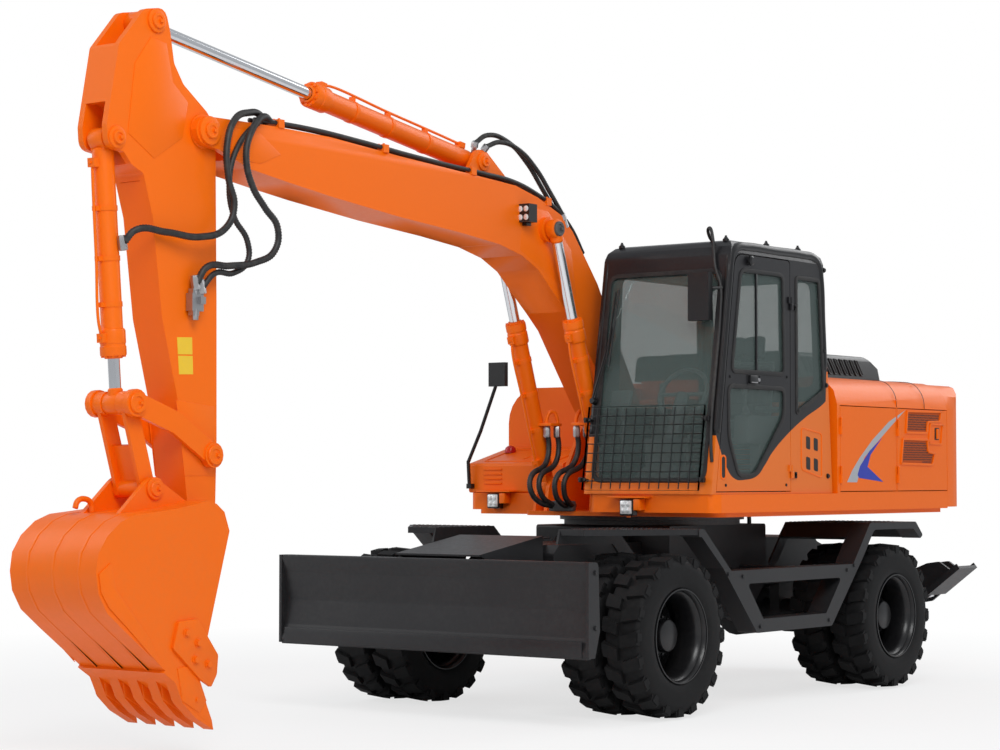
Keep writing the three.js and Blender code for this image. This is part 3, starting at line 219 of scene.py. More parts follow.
finish_list = ((orange_paint, 0.006, ("upper_deck", "counterweight", "engine_hood", "side_door_left_front",
                                      "side_door_left_rear", "side_door_right", "fuel_tank", "tool_box",
                                      "boom", "arm", "rocker_links", "bucket_link",
                                      "boom_cylinder_left_barrel", "boom_cylinder_right_barrel",
                                      "arm_cylinder_barrel", "bucket_cylinder_barrel")),
               (bucket_paint, 0.004, ("bucket",)), (dark_paint, 0.004, ("chassis_frame", "blade_cover",
                                                                        "front_axle", "rear_axle",
                                                                        "step_frame_left",
                                                                        "step_frame_right",
                                                                        "steering_knuckle_left",
                                                                        "steering_knuckle_right",
                                                                        "dozer_blade",
                                                                        "blade_cylinder_barrel",
                                                                        "outrigger_leg_left",
                                                                        "outrigger_leg_right",
                                                                        "outrigger_cylinder_left_barrel",
                                                                        "outrigger_cylinder_right_barrel")),
               (cab_paint, 0.004, ("vent_box", "cab_frame", "cab_door", "front_guard")),
               (cab_paint, 0.014, ("mirror_left", "mirror_right")), (tyre_rubber, 0.003,
                                                                     ("wheel_front_left",
                                                                      "wheel_front_right",
                                                                      "wheel_rear_left",
                                                                      "wheel_rear_right")),
               (hard_chrome, 0.002, ("blade_cylinder_rod", "outrigger_cylinder_left_rod",
                                     "outrigger_cylinder_right_rod", "boom_cylinder_left_rod",
                                     "boom_cylinder_right_rod", "arm_cylinder_rod", "bucket_cylinder_rod")),
               (tinted_glass, 0, ("windscreen", "rear_window", "right_window", "quarter_window",
                                  "door_glass_upper", "door_glass_lower")),
               (seat_cloth, 0.02, ("operator_seat",)), (console_plastic, 0.008, ("steering_console",)),
               (cast_grey, 0.003, ("slew_ring", "drive_line", "engine_block")),)
for material, bevel, names in finish_list:
    for name in names:
        finish_node(name, material, bevel)

# ---- Wheels
# Ten-stud steel twin wheels: two block-tread tyres on rolled rims, a dished disc between them and a
# planetary hub through the middle. Tread blocks run in two rows that meet at a staggered centre groove.


def new_piece(name, mesh, material, body, smooth=30, recalc=True):
    """A bmesh made into an object that rides on a body, with its finish."""
    if recalc:
        bmesh.ops.recalc_face_normals(mesh, faces=mesh.faces)
    data = bpy.data.meshes.new(name)
    mesh.to_mesh(data)
    mesh.free()
    data.materials.append(material)
    obj = bpy.data.objects.new(name, data)
    bpy.context.scene.collection.objects.link(obj)
    data.polygons.foreach_set("use_smooth", [True] * len(data.polygons))
    data.set_sharp_from_angle(angle=math.radians(smooth))
    if body:
        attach(obj, body)
    return obj


def turn_profile(mesh, profile, centre, axis, steps=48, lift=None):
    """Spins (radius, along) points round an axis through centre and adds the shell to mesh."""
    along = Vector(axis).normalized()
    out = along.orthogonal().normalized() if lift is None else Vector(lift)
    middle = Vector(centre)
    points = [mesh.verts.new(middle + out * radius + along * step) for radius, step in profile]
    edges = [mesh.edges.new((points[i], points[i + 1])) for i in range(len(points) - 1)]
    made = bmesh.ops.spin(mesh, geom=points + edges, cent=middle, axis=along, angle=math.tau, steps=steps,
                          use_merge=True)
    bmesh.ops.remove_doubles(mesh, verts=mesh.verts, dist=0.00002)
    return made


def place_at(x, y, z):
    """A place whose y is measured back from the front axle."""
    return Vector((x, y + front_axle_y, z))


def plain_block(mesh, size, centre=(0, 0, 0)):
    """A sharp-edged block added to mesh. Gives its corners."""
    corners = bmesh.ops.create_cube(mesh, size=1)["verts"]
    bmesh.ops.scale(mesh, verts=corners, vec=size)
    bmesh.ops.translate(mesh, verts=corners, vec=centre)
    return corners


def stud(mesh, centre, radius, top, depth, sides):
    """A short round or six-sided bar along X with its middle at centre."""
    bmesh.ops.create_cone(mesh, cap_ends=True, segments=sides, radius1=radius, radius2=top, depth=depth,
                          matrix=Matrix.Translation(centre) @ Matrix.Rotation(math.pi / 2, 4, "Y"))


tyre_radius = 0.5215
tyre_half = 0.1375
tyre_offset = 0.165
tyre_profile = (
    (0.297, 0.1), (0.300, 0.124), (0.318, 0.1355), (0.36, 0.1375), (0.42, 0.1372), (0.462, 0.131),
    (0.48, 0.118), (0.4885, 0.1), (0.4915, 0.06), (0.4925, 0.0),
)
rim_profile = (
    (0.299, 0.136), (0.3, 0.128), (0.292, 0.118), (0.287, 0.1), (0.273, 0.088), (0.262, 0.06),
    (0.258, 0.02), (0.258, -0.03), (0.266, -0.05), (0.273, -0.08), (0.287, -0.1), (0.292, -0.118),
    (0.3, -0.128), (0.299, -0.136),
)
wheel_middle = 0.9425
tread_blocks = 20
wheel_nuts, nut_circle = 10, 0.16
hub_bolts, bolt_circle = 12, 0.118
for end, y in (("front", 0.0), ("rear", 2.85)):
    for side, sx in (("left", 1), ("right", -1)):
        body = f"wheel_{end}_{side}"
        hub_x = sx * wheel_middle
        hub = place_at(hub_x, y, tyre_radius)
        rubber = bmesh.new()
        for tyre_sign in (1, -1):
            centre = hub + Vector((tyre_sign * tyre_offset, 0, 0))
            closed = [(r, s) for r, s in tyre_profile] + [(r, -s) for r, s in reversed(tyre_profile[:-1])]
            closed += [(0.288, -0.08), (0.288, 0.08), tyre_profile[0]]
            turn_profile(rubber, closed, centre, (1, 0, 0), steps=60)
        for tyre_sign in (1, -1):
            for row in (1, -1):
                for index in range(tread_blocks):
                    angle = (index + (0.5 if row < 0 else 0)) * math.tau / tread_blocks
                    turn = Matrix.Rotation(angle, 4, "X")
                    shift = Matrix.Translation(hub + Vector((tyre_sign * tyre_offset, 0, 0)))
                    lug = plain_block(rubber, (0.116, 0.1, 0.05))
                    for vert in lug:
                        outer = row * vert.co.x > 0
                        vert.co.y += 0.018 if outer else -0.02
                        vert.co.y *= 1.0 if outer else 0.82
                        if vert.co.z > 0:
                            vert.co.y *= 0.86
                            vert.co.z -= 0.012 if outer else 0.0
                    bmesh.ops.translate(rubber, verts=lug, vec=(row * 0.071, 0, tyre_radius - 0.0285))
                    bmesh.ops.transform(rubber, matrix=shift @ turn, verts=lug)
                    rib = plain_block(rubber, (0.022, 0.06, 0.052))
                    for vert in rib:
                        if vert.co.z < 0:
                            vert.co.x -= row * 0.001
                            vert.co.y *= 0.7
                    bmesh.ops.translate(rubber, verts=rib, vec=(row * 0.1245, 0.018, 0.476))
                    bmesh.ops.transform(rubber, matrix=shift @ turn, verts=rib)
        new_piece(f"tyres_{end}_{side}", rubber, tyre_rubber, body, recalc=True)
        steel = bmesh.new()
        for tyre_sign in (1, -1):
            centre = hub + Vector((tyre_sign * tyre_offset, 0, 0))
            inner = [(r - 0.008, s) for r, s in reversed(rim_profile)]
            turn_profile(steel, list(rim_profile) + inner + [rim_profile[0]], centre, (1, 0, 0), steps=60)
        turn_profile(steel, [(0.262, 0.055), (0.262, -0.055), (0.25, -0.055), (0.25, 0.055),
                             (0.262, 0.055)], hub, (1, 0, 0), steps=60)
        disc = [(0.256, 0.02), (0.225, 0.028), (0.19, 0.05), (0.165, 0.055), (0.1, 0.055), (0.1, 0.043),
                (0.165, 0.043), (0.19, 0.038), (0.225, 0.014), (0.256, 0.006), (0.256, 0.02)]
        cap = [(0.0, 0.205), (0.085, 0.205), (0.098, 0.2), (0.104, 0.188), (0.106, 0.15), (0.128, 0.14),
               (0.134, 0.13), (0.136, 0.09), (0.145, 0.085), (0.147, 0.03), (0.147, -0.079), (0.0, -0.079)]
        for profile, steps in ((disc, 60), (cap, 48)):
            turn_profile(steel, [(r, sx * s) for r, s in profile], hub, (1, 0, 0), steps=steps)
        for index in range(wheel_nuts):
            angle = index * math.tau / wheel_nuts
            spot = hub + Vector((sx * 0.066, nut_circle * math.cos(angle), nut_circle * math.sin(angle)))
            stud(steel, spot, 0.015, 0.015, 0.024, 6)
            stud(steel, spot + Vector((sx * 0.012, 0, 0)), 0.009, 0.008, 0.04, 8)
        for index in range(hub_bolts):
            angle = index * math.tau / hub_bolts
            spot = hub + Vector((sx * 0.146, bolt_circle * math.cos(angle), bolt_circle * math.sin(angle)))
            stud(steel, spot, 0.007, 0.007, 0.02, 6)
        rims = new_piece(f"rims_{end}_{side}", steel, cab_paint, body)
        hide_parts(body)

# ---- Hydraulic cylinders
# Honed steel tubes with a screwed gland at one end and a forged eye at both. A chromed rod slides in each,
# and a painted feed pipe is clamped along the tube from its port to the gland.
arm_plane = -0.11
pins = {
    "boom_foot": (1.2, 1.92), "boom_base": (0.754, 1.454), "boom_eye": (0.171, 3.177),
    "arm_base": (-0.43, 3.578), "arm_eye": (-3.41, 4.045), "arm_foot": (-3.045, 3.472),
    "bucket_base": (-3.7, 3.366), "rocker_foot": (-2.984, 1.646), "rocker_tip": (-3.584, 1.926),
    "link_tip": (-3.44, 1.46), "bucket_foot": (-3.04, 1.27),
}


def pin_at(name, x=arm_plane):
    """The centre of a pin on the line across the machine, at x."""
    y, z = pins[name]
    return place_at(x, y, z)


def round_eye(mesh, centre, radius, half, bore=0.0, ease=0.006, steps=40):
    """A forged eye or boss across X with eased rims."""
    ease = min(ease, half * 0.8)
    profile = [(bore, half), (radius - ease, half), (radius - 0.3 * ease, half - 0.3 * ease),
               (radius, half - ease), (radius, ease - half), (radius - 0.3 * ease, 0.3 * ease - half),
               (radius - ease, -half), (bore, -half)]
    if bore:
        profile.append(profile[0])
    turn_profile(mesh, profile, centre, (1, 0, 0), steps=steps)


def hex_bolt(mesh, centre, direction, size=0.012, height=0.01, sides=6):
    """A bolt head standing on a face, on a thin washer."""
    out = Vector(direction).normalized()
    turn = out.to_track_quat("Z", "Y").to_matrix().to_4x4()
    bmesh.ops.create_cone(mesh, cap_ends=True, segments=16, radius1=size * 1.3, radius2=size * 1.3,
                          depth=height * 0.3,
                          matrix=Matrix.Translation(centre + out * height * 0.15) @ turn)
    bmesh.ops.create_cone(mesh, cap_ends=True, segments=sides, radius1=size, radius2=size * 0.94,
                          depth=height, matrix=Matrix.Translation(centre + out * height * 0.6) @ turn)


def pipe(name, points, radius, material, body, ribs=0.0, sides=6):
    """A bent pipe or hose through the points, closed at its ends. Ribs give it a wound guard."""
    spots = [Vector(point) for point in points]
    curve = bpy.data.curves.new(name, "CURVE")
    curve.dimensions = "3D"
    spline = curve.splines.new("BEZIER")
    spline.bezier_points.add(len(spots) - 1)
    for handle, spot in zip(spline.bezier_points, spots):
        handle.co = spot
        handle.handle_left_type = handle.handle_right_type = "AUTO"
    if ribs:
        line = bpy.data.objects.new(name + "_line", curve)
        curve.resolution_u = 24
        run = [v.co.copy() for v in bpy.data.meshes.new_from_object(line).vertices]
        bpy.data.objects.remove(line)
        even, spare = [run[0]], 0.0
        for start, stop in zip(run, run[1:]):
            step = (stop - start).length
            while step and spare + step >= ribs / 2:
                share = (ribs / 2 - spare) / step
                start = start.lerp(stop, share)
                step = (stop - start).length
                spare = 0.0
                even.append(start.copy())
            spare += step
        curve = bpy.data.curves.new(name + "_wound", "CURVE")
        curve.dimensions = "3D"
        spline = curve.splines.new("POLY")
        spline.points.add(len(even) - 1)
        for index, (point, spot) in enumerate(zip(spline.points, even)):
            point.co = (*spot, 1)
            point.radius = 1.0 if index % 2 else 0.84
    else:
        curve.resolution_u = 10
    curve.bevel_depth = radius
    curve.bevel_resolution = sides - 2
    curve.use_fill_caps = True
    holder = bpy.data.objects.new(name, curve)
    data = bpy.data.meshes.new_from_object(holder)
    bpy.data.objects.remove(holder)
    data.name = name
    data.materials.clear()
    data.materials.append(material)
    merged = bmesh.new()
    merged.from_mesh(data)
    bmesh.ops.remove_doubles(merged, verts=merged.verts, dist=0.00005)
    bmesh.ops.recalc_face_normals(merged, faces=merged.faces)
    merged.to_mesh(data)
    merged.free()
    obj = bpy.data.objects.new(name, data)
    bpy.context.scene.collection.objects.link(obj)
    data.polygons.foreach_set("use_smooth", [True] * len(data.polygons))
    if body:
        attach(obj, body)
    return obj


def cylinder_set(label, base, eye, x, tube, rod, gland, tail, half, base_eye, rod_eye, neck, barrel_body,
                 rod_body, port_side=(0, 0, 1), steps=44):
    """Tube with gland, bolts, clamps and feed pipe, and its chromed rod with a painted eye."""
    foot, tip = pin_at(base, x), pin_at(eye, x)
    along = (tip - foot).normalized()
    length = (tip - foot).length
    across = Vector((1, 0, 0))
    up = along.cross(across).normalized()
    if up.dot(Vector(port_side)) < 0:
        up = -up
    body = bmesh.new()
    round_eye(body, foot, base_eye, half, steps=32)
    web = plain_block(body, (half * 1.9, base_eye * 1.25, neck), (0, 0, neck * 0.55))
    frame_turn = Matrix((across, up, along)).transposed().to_4x4()
    bmesh.ops.transform(body, matrix=Matrix.Translation(foot) @ frame_turn, verts=web)
    shell = [(0, neck * 0.8), (tube * 0.8, neck * 0.8), (tube * 0.97, neck), (tube, neck + 0.012),
             (tube, gland - 0.17), (tube * 1.02, gland - 0.165), (tube * 1.14, gland - 0.16),
             (tube * 1.2, gland - 0.15), (tube * 1.2, gland - 0.085), (tube * 1.15, gland - 0.08),
             (tube * 1.15, gland - 0.07), (tube * 1.21, gland - 0.065), (tube * 1.21, gland - 0.022),
             (tube * 1.17, gland - 0.016), (tube * 0.86, gland - 0.014), (tube * 0.82, gland - 0.002),
             (tube * 0.78, gland), (rod + 0.003, gland), (rod + 0.003, gland - 0.03), (0, gland - 0.03)]
    turn_profile(body, shell, foot, along, steps=steps)
    for index in range(10):
        angle = index * math.tau / 10 + 0.2
        radial = across * math.cos(angle) + up * math.sin(angle)
        hex_bolt(body, foot + along * (gland - 0.02) + radial * tube * 1.02, along, size=0.009,
                 height=0.012)
    for share in (0.28, 0.52, 0.74):
        spot = foot + along * (neck + (gland - neck) * share)
        turn_profile(body, [(tube - 0.002, 0.014), (tube + 0.004, 0.014), (tube + 0.004, -0.014),
                            (tube - 0.002, -0.014), (tube - 0.002, 0.014)], spot, along, steps=28)
        lug = plain_block(body, (0.034, 0.03, 0.026))
        bmesh.ops.transform(body, matrix=Matrix.Translation(spot + up * (tube + 0.012)) @ frame_turn,
                            verts=lug)
    for spot_along in (neck + 0.07, gland - 0.115):
        port = plain_block(body, (0.05, 0.036, 0.05))
        spot = foot + along * spot_along + up * (tube * 1.14 + 0.008)
        bmesh.ops.transform(body, matrix=Matrix.Translation(spot) @ frame_turn, verts=port)
        hex_bolt(body, spot + up * 0.018, up, size=0.007, height=0.007)
    painted = new_piece(f"{label}_tube", body, orange_paint, barrel_body)
    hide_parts(f"{label}_barrel")
    lift = tube + 0.03
    start = foot + along * (neck + 0.05) + up * (lift - 0.01)
    pipe(f"{label}_feed_pipe", [start, start + along * 0.05 + up * 0.004,
                                foot + along * (neck + gland) * 0.5 + up * lift,
                                foot + along * (gland - 0.16) + up * lift,
                                foot + along * (gland - 0.12) + up * (tube * 1.1)], 0.0085, orange_paint,
         barrel_body)
    bright = bmesh.new()
    turn_profile(bright, [(0, tail), (rod, tail), (rod, length - rod_eye * 0.72),
                          (0, length - rod_eye * 0.72)], foot, along, steps=36)
    bright_rod = new_piece(f"{label}_chrome", bright, hard_chrome, rod_body)
    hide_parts(f"{label}_rod")
    forged = bmesh.new()
    round_eye(forged, tip, rod_eye, half, steps=40)
    turn_profile(forged, [(0, length - rod_eye * 0.5), (rod * 1.25, length - rod_eye * 0.6),
                          (rod * 1.25, length - rod_eye * 1.25), (rod * 1.02, length - rod_eye * 1.4),
                          (0, length - rod_eye * 1.4)], foot, along, steps=32)
    new_piece(f"{label}_rod_eye", forged, orange_paint, rod_body)


for side, sx in (("left", 1), ("right", -1)):
    cylinder_set(f"boom_cylinder_{side}", "boom_base", "boom_eye", arm_plane + sx * 0.241, 0.058, 0.036,
                 1.2, 0.66, 0.032, 0.066, 0.066, 0.125, "boom_barrels", "boom_rods", port_side=(0, -1, 0))
cylinder_set("arm_cylinder", "arm_base", "arm_eye", arm_plane, 0.066, 0.0375, 1.62, 1.23, 0.075, 0.07,
             0.068, 0.06, "arm_barrel", "arm_rod", port_side=(0, 0, 1))
cylinder_set("bucket_cylinder", "bucket_base", "rocker_tip", arm_plane, 0.06, 0.033, 1.2, 0.42, 0.056,
             0.062, 0.06, 0.06, "bucket_barrel", "bucket_rod", port_side=(0, -1, 0))

# ---- Boom and arm fittings
# Welded plate boxes with turned bosses at every pin, lapped doubler plates, steel feed pipes in clamps
# along the top, a work lamp on the bend, and hoses in a wound guard that cross from the boom to the arm.


def ease_over(mesh, geom, offset, affect, segments):
    """Rounds the edges or corners given over the same width on each side."""
    bmesh.ops.bevel(mesh, geom=geom, offset=offset, offset_type="OFFSET", affect=affect, segments=segments,
                    profile=0.5, material=-1, clamp_overlap=True)


def lapped_plate(mesh, corners, x0, x1, ease=0.0025, round_by=0.0, round_steps=4):
    """A flat plate across X whose outline is given as (y, z) before the axle offset, with eased rims."""
    before_verts, before_faces = set(mesh.verts), set(mesh.faces)
    ring = [mesh.verts.new(place_at(x0, y, z)) for y, z in corners]
    face = mesh.faces.new(ring)
    if round_by:
        ease_over(mesh, ring, round_by, "VERTICES", round_steps)
        face = next(f for f in mesh.faces if f not in before_faces)
    grown = bmesh.ops.extrude_face_region(mesh, geom=[face])["geom"]
    moved = [item for item in grown if isinstance(item, bmesh.types.BMVert)]
    bmesh.ops.translate(mesh, verts=moved, vec=(x1 - x0, 0, 0))
    made = [item for item in mesh.verts if item not in before_verts]
    faces = list({f for v in made for f in v.link_faces})
    bmesh.ops.recalc_face_normals(mesh, faces=faces)
    if ease:
        rim = [e for e in {e for v in made for e in v.link_edges}
               if abs(e.verts[0].co.x - e.verts[1].co.x) < 1e-6 and len(e.link_faces) == 2]
        ease_over(mesh, rim, ease, "EDGES", 2)
    return made


def both_faces(mesh, corners, inner, outer, round_by=0.0):
    """The same plate lapped on the left and right of the arm plane."""
    for sx in (1, -1):
        lapped_plate(mesh, corners, arm_plane + sx * inner, arm_plane + sx * outer, round_by=round_by)


def pin_cap(mesh, name, x, sx, radius, thick=0.014):
    """The keeper disc on a pin's end: a raised rim, a dished middle and its locking bolt."""
    turn_profile(mesh, [(0, thick * 0.6), (radius * 0.55, thick * 0.6), (radius * 0.62, thick),
                        (radius * 0.92, thick), (radius, thick * 0.6), (radius, -0.004), (0, -0.004)],
                 pin_at(name, x), (sx, 0, 0), steps=32)
    hex_bolt(mesh, pin_at(name, x) + Vector((sx * thick * 0.6, radius * 0.3, 0)), (sx, 0, 0), 0.011, 0.011)


boom_trim = bmesh.new()
for sx in (1, -1):
    round_eye(boom_trim, pin_at("arm_foot", arm_plane + sx * 0.176), 0.082, 0.012)
    round_eye(boom_trim, pin_at("boom_eye", arm_plane + sx * 0.1685), 0.078, 0.0018)
    round_eye(boom_trim, pin_at("boom_foot", arm_plane + sx * 0.171), 0.1, 0.003)
    round_eye(boom_trim, pin_at("arm_base", arm_plane + sx * 0.106), 0.062, 0.01)
both_faces(boom_trim, ((-2.86, 3.335), (-2.62, 3.33), (-2.45, 3.40), (-2.62, 3.50), (-2.86, 3.51)),
           0.169, 0.174)
both_faces(boom_trim, ((-0.12, 3.02), (0.28, 2.84), (0.52, 2.75), (0.46, 3.06), (0.2, 3.3), (-0.08, 3.32)),
           0.1685, 0.1703)
new_piece("boom_bosses", boom_trim, orange_paint, "boom")
boom_pin_ends = bmesh.new()
boom_pin_caps = bmesh.new()
for sx in (1, -1):
    pin_cap(boom_pin_caps, "arm_foot", arm_plane + sx * 0.19, sx, 0.046)
    pin_cap(boom_pin_ends, "boom_eye", arm_plane + sx * 0.277, sx, 0.05)
    turn_profile(boom_pin_ends, [(0, 0), (0.034, 0), (0.034, 0.105), (0, 0.105)],
                 pin_at("boom_eye", arm_plane + sx * 0.175), (sx, 0, 0), steps=28)
    pin_cap(boom_pin_caps, "arm_base", arm_plane + sx * 0.117, sx, 0.036)
new_piece("boom_pin_ends", boom_pin_ends, cast_grey, "boom")
new_piece("boom_pin_caps", boom_pin_caps, orange_paint, "boom")

arm_trim = bmesh.new()
for sx in (1, -1):
    round_eye(arm_trim, pin_at("arm_eye", arm_plane + sx * 0.12), 0.066, 0.01)
    round_eye(arm_trim, pin_at("bucket_base", arm_plane + sx * 0.118), 0.062, 0.008)
    round_eye(arm_trim, pin_at("arm_foot", arm_plane + sx * 0.1215), 0.098, 0.0055)
both_faces(arm_trim, ((-3.62, 3.4), (-3.57, 3.79), (-3.45, 3.95), (-3.33, 3.93), (-3.28, 3.72),
                      (-3.16, 3.62), (-3.2, 3.42), (-3.42, 3.28)), 0.114, 0.119)
both_faces(arm_trim, ((-3.17, 1.53), (-3.2, 1.72), (-3.24, 1.95), (-2.935, 1.92), (-2.935, 1.53)),
           0.114, 0.118)
new_piece("arm_doublers", arm_trim, orange_paint, "arm")
arm_pin_ends = bmesh.new()
for sx in (1, -1):
    pin_cap(arm_pin_ends, "arm_eye", arm_plane + sx * 0.13, sx, 0.044)
    pin_cap(arm_pin_ends, "bucket_base", arm_plane + sx * 0.126, sx, 0.04)
new_piece("arm_pin_ends", arm_pin_ends, orange_paint, "arm")

rocker_trim = bmesh.new()
for sx in (1, -1):
    pin_cap(rocker_trim, "rocker_tip", arm_plane + sx * 0.167, sx, 0.058)
    pin_cap(rocker_trim, "rocker_foot", arm_plane + sx * 0.167, sx, 0.056)
new_piece("rocker_pin_ends", rocker_trim, orange_paint, "rocker")

top_line = ((-2.66, 3.555), (-2.2, 3.557), (-1.7, 3.532), (-1.3, 3.503), (-0.85, 3.478), (-0.5, 3.462),
            (-0.166, 3.44), (0.079, 3.385), (0.3, 3.305), (0.48, 3.187), (0.62, 3.025))
for index, offset in enumerate((0.155, 0.115)):
    pipe(f"boom_feed_pipe_{index}",
         [place_at(arm_plane + offset, y, z + 0.028) for y, z in top_line], 0.0135, hose_rubber, "boom")
clamps = bmesh.new()
for y, z in ((-2.45, 3.558), (-1.5, 3.517), (-0.62, 3.468), (0.2, 3.345)):
    plain_block(clamps, (0.085, 0.05, 0.05), place_at(arm_plane + 0.135, y, z + 0.023))
    for dx in (-0.02, 0.02):
        hex_bolt(clamps, place_at(arm_plane + 0.135 + dx, y, z + 0.048), (0, 0, 1), 0.008, 0.008)
new_piece("boom_pipe_clamps", clamps, orange_paint, "boom")

lamp_shell = bmesh.new()
lamp_at = place_at(arm_plane + 0.2, -0.09, 3.262)
plain_block(lamp_shell, (0.11, 0.09, 0.12), lamp_at)
front = min(lamp_shell.faces, key=lambda f: f.calc_center_median().y)
bmesh.ops.inset_region(lamp_shell, faces=[front], thickness=0.012, depth=-0.008)
plain_block(lamp_shell, (0.07, 0.05, 0.02), lamp_at + Vector((-0.03, 0.02, -0.07)))
new_piece("boom_lamp_housing", lamp_shell, cab_paint, "boom")
lamp_face = bmesh.new()
for dx in (-0.024, 0.024):
    for dz in (-0.028, 0.028):
        turn_profile(lamp_face, [(0, 0.006), (0.012, 0.005), (0.02, 0.0), (0.02, -0.004), (0, -0.004)],
                     lamp_at + Vector((dx, -0.038, dz)), (0, -1, 0), steps=20)
lamp_lens = worn("lamp_lens", (0.78, 0.8, 0.8), 0.08, metallic=0.3, dust_share=0.02)
new_piece("boom_lamp_lenses", lamp_face, lamp_lens, "boom")

hose_runs = (
    ("arm_hose_front", 0.021, (
        (-2.52, 3.585, 0.0), (-2.60, 3.62, 0.03), (-2.728, 3.612, 0.07), (-2.86, 3.562, 0.09),
        (-2.94, 3.4, 0.1), (-2.935, 3.2, 0.11), (-2.89, 3.06, 0.11), (-2.95, 2.93, 0.105),
        (-3.144, 2.862, 0.095), (-3.38, 2.872, 0.06), (-3.57, 2.87, 0.02), (-3.62, 2.80, -0.02))),
    ("arm_hose_middle", 0.021, (
        (-2.5, 3.585, 0.03), (-2.62, 3.6, 0.08), (-2.76, 3.49, 0.115), (-2.805, 3.355, 0.12),
        (-2.76, 3.186, 0.125), (-2.651, 3.066, 0.125), (-2.545, 2.961, 0.125), (-2.56, 2.832, 0.12),
        (-2.71, 2.75, 0.11), (-2.92, 2.715, 0.095), (-3.07, 2.7, 0.075), (-3.135, 2.6, 0.055))),
    ("arm_hose_rear", 0.018, (
        (-2.5, 3.58, -0.03), (-2.64, 3.56, 0.05), (-2.83, 3.4, 0.075), (-2.9, 3.2, 0.08),
        (-2.86, 3.0, 0.08), (-2.75, 2.87, 0.08), (-2.745, 2.76, 0.08), (-2.86, 2.68, 0.075),
        (-3.0, 2.67, 0.07), (-3.09, 2.58, 0.055))),
)
for label, radius, run in hose_runs:
    points = [place_at(x, y, z) for y, z, x in run]
    hose = pipe(label, points, radius, hose_rubber, None, ribs=0.016, sides=6)
    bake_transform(hose)
valve = bmesh.new()
valve_at = place_at(arm_plane + 0.145, -3.125, 2.5)
for size, shift in (((0.05, 0.09, 0.1), (0, 0, 0)), ((0.036, 0.05, 0.15), (0.004, -0.012, 0)),
                    ((0.07, 0.04, 0.04), (0.012, 0.02, 0.01))):
    plain_block(valve, size, valve_at + Vector(shift))
for dz in (-0.05, 0.05):
    turn_profile(valve, [(0, 0.03), (0.02, 0.03), (0.02, -0.03), (0, -0.03)],
                 valve_at + Vector((0.01, -0.01, dz * 1.4)), (0, 0, 1), steps=6)
for name, at in (("front", (-3.62, 2.79, -0.03)), ("middle", (-3.135, 2.6, 0.05)),
                 ("rear", (-3.09, 2.58, 0.05))):
    y, z, x = at
    turn_profile(valve, [(0, 0.05), (0.021, 0.05), (0.026, 0.03), (0.026, -0.03), (0.018, -0.034),
                         (0, -0.034)], place_at(x, y, z), (0, -0.2, 1), steps=6)
new_piece("hose_fittings", valve, bare_steel, "arm")
hose_ends = bmesh.new()
for offset in (-0.03, 0.0, 0.03):
    turn_profile(hose_ends, [(0, 0.05), (0.024, 0.05), (0.024, -0.04), (0.018, -0.046), (0, -0.046)],
                 place_at(offset, -2.5, 3.583), (0, 1, 0), steps=6)
new_piece("boom_hose_ends", hose_ends, bare_steel, "boom")

label_plate = bmesh.new()
for corners in (((-3.235, 2.3), (-3.117, 2.305), (-3.113, 2.209), (-3.227, 2.205)),
                ((-3.226, 2.198), (-3.112, 2.201), (-3.107, 2.098), (-3.217, 2.094))):
    lapped_plate(label_plate, corners, arm_plane + 0.115, arm_plane + 0.1165, ease=0.0)
yellow_label = worn("yellow_label", (0.86, 0.55, 0.02), 0.4, dust_share=0.05)
new_piece("arm_blank_label", label_plate, yellow_label, "arm")

for index, (x0, run) in enumerate((
        (-0.02, ((-0.47, 3.70), (-0.36, 3.76), (-0.15, 3.74), (0.05, 3.62), (0.2, 3.47), (0.33, 3.33))),
        (0.02, ((-0.4, 3.68), (-0.28, 3.72), (-0.08, 3.69), (0.1, 3.58), (0.24, 3.44), (0.38, 3.29))))):
    pipe(f"arm_cylinder_hose_{index}", [place_at(x0 - 0.02 + 0.01 * step, y, z) for step,
                                        (y, z) in enumerate(run)], 0.017, hose_rubber, "boom",
         ribs=0.014)
hose_seats = bmesh.new()
for start, end in (
    ((-0.04, -0.475, 3.7), (-0.08, -0.45, 3.61)), ((0.0, -0.405, 3.68), (-0.07, -0.42, 3.6)),
    ((0.01, 0.325, 3.335), (0.012, 0.37, 3.255)), ((0.05, 0.375, 3.295), (0.052, 0.42, 3.215)),
):
    reach = Vector(end) - Vector(start)
    turn_profile(hose_seats, [(0, -0.008), (0.021, -0.008), (0.024, 0.002), (0.024, 0.034), (0.017, 0.038),
                              (0.017, reach.length), (0, reach.length)],
                 Vector(start) + Vector((0, front_axle_y, 0)), reach, steps=6)
new_piece("arm_cylinder_hose_ends", hose_seats, bare_steel, "boom")

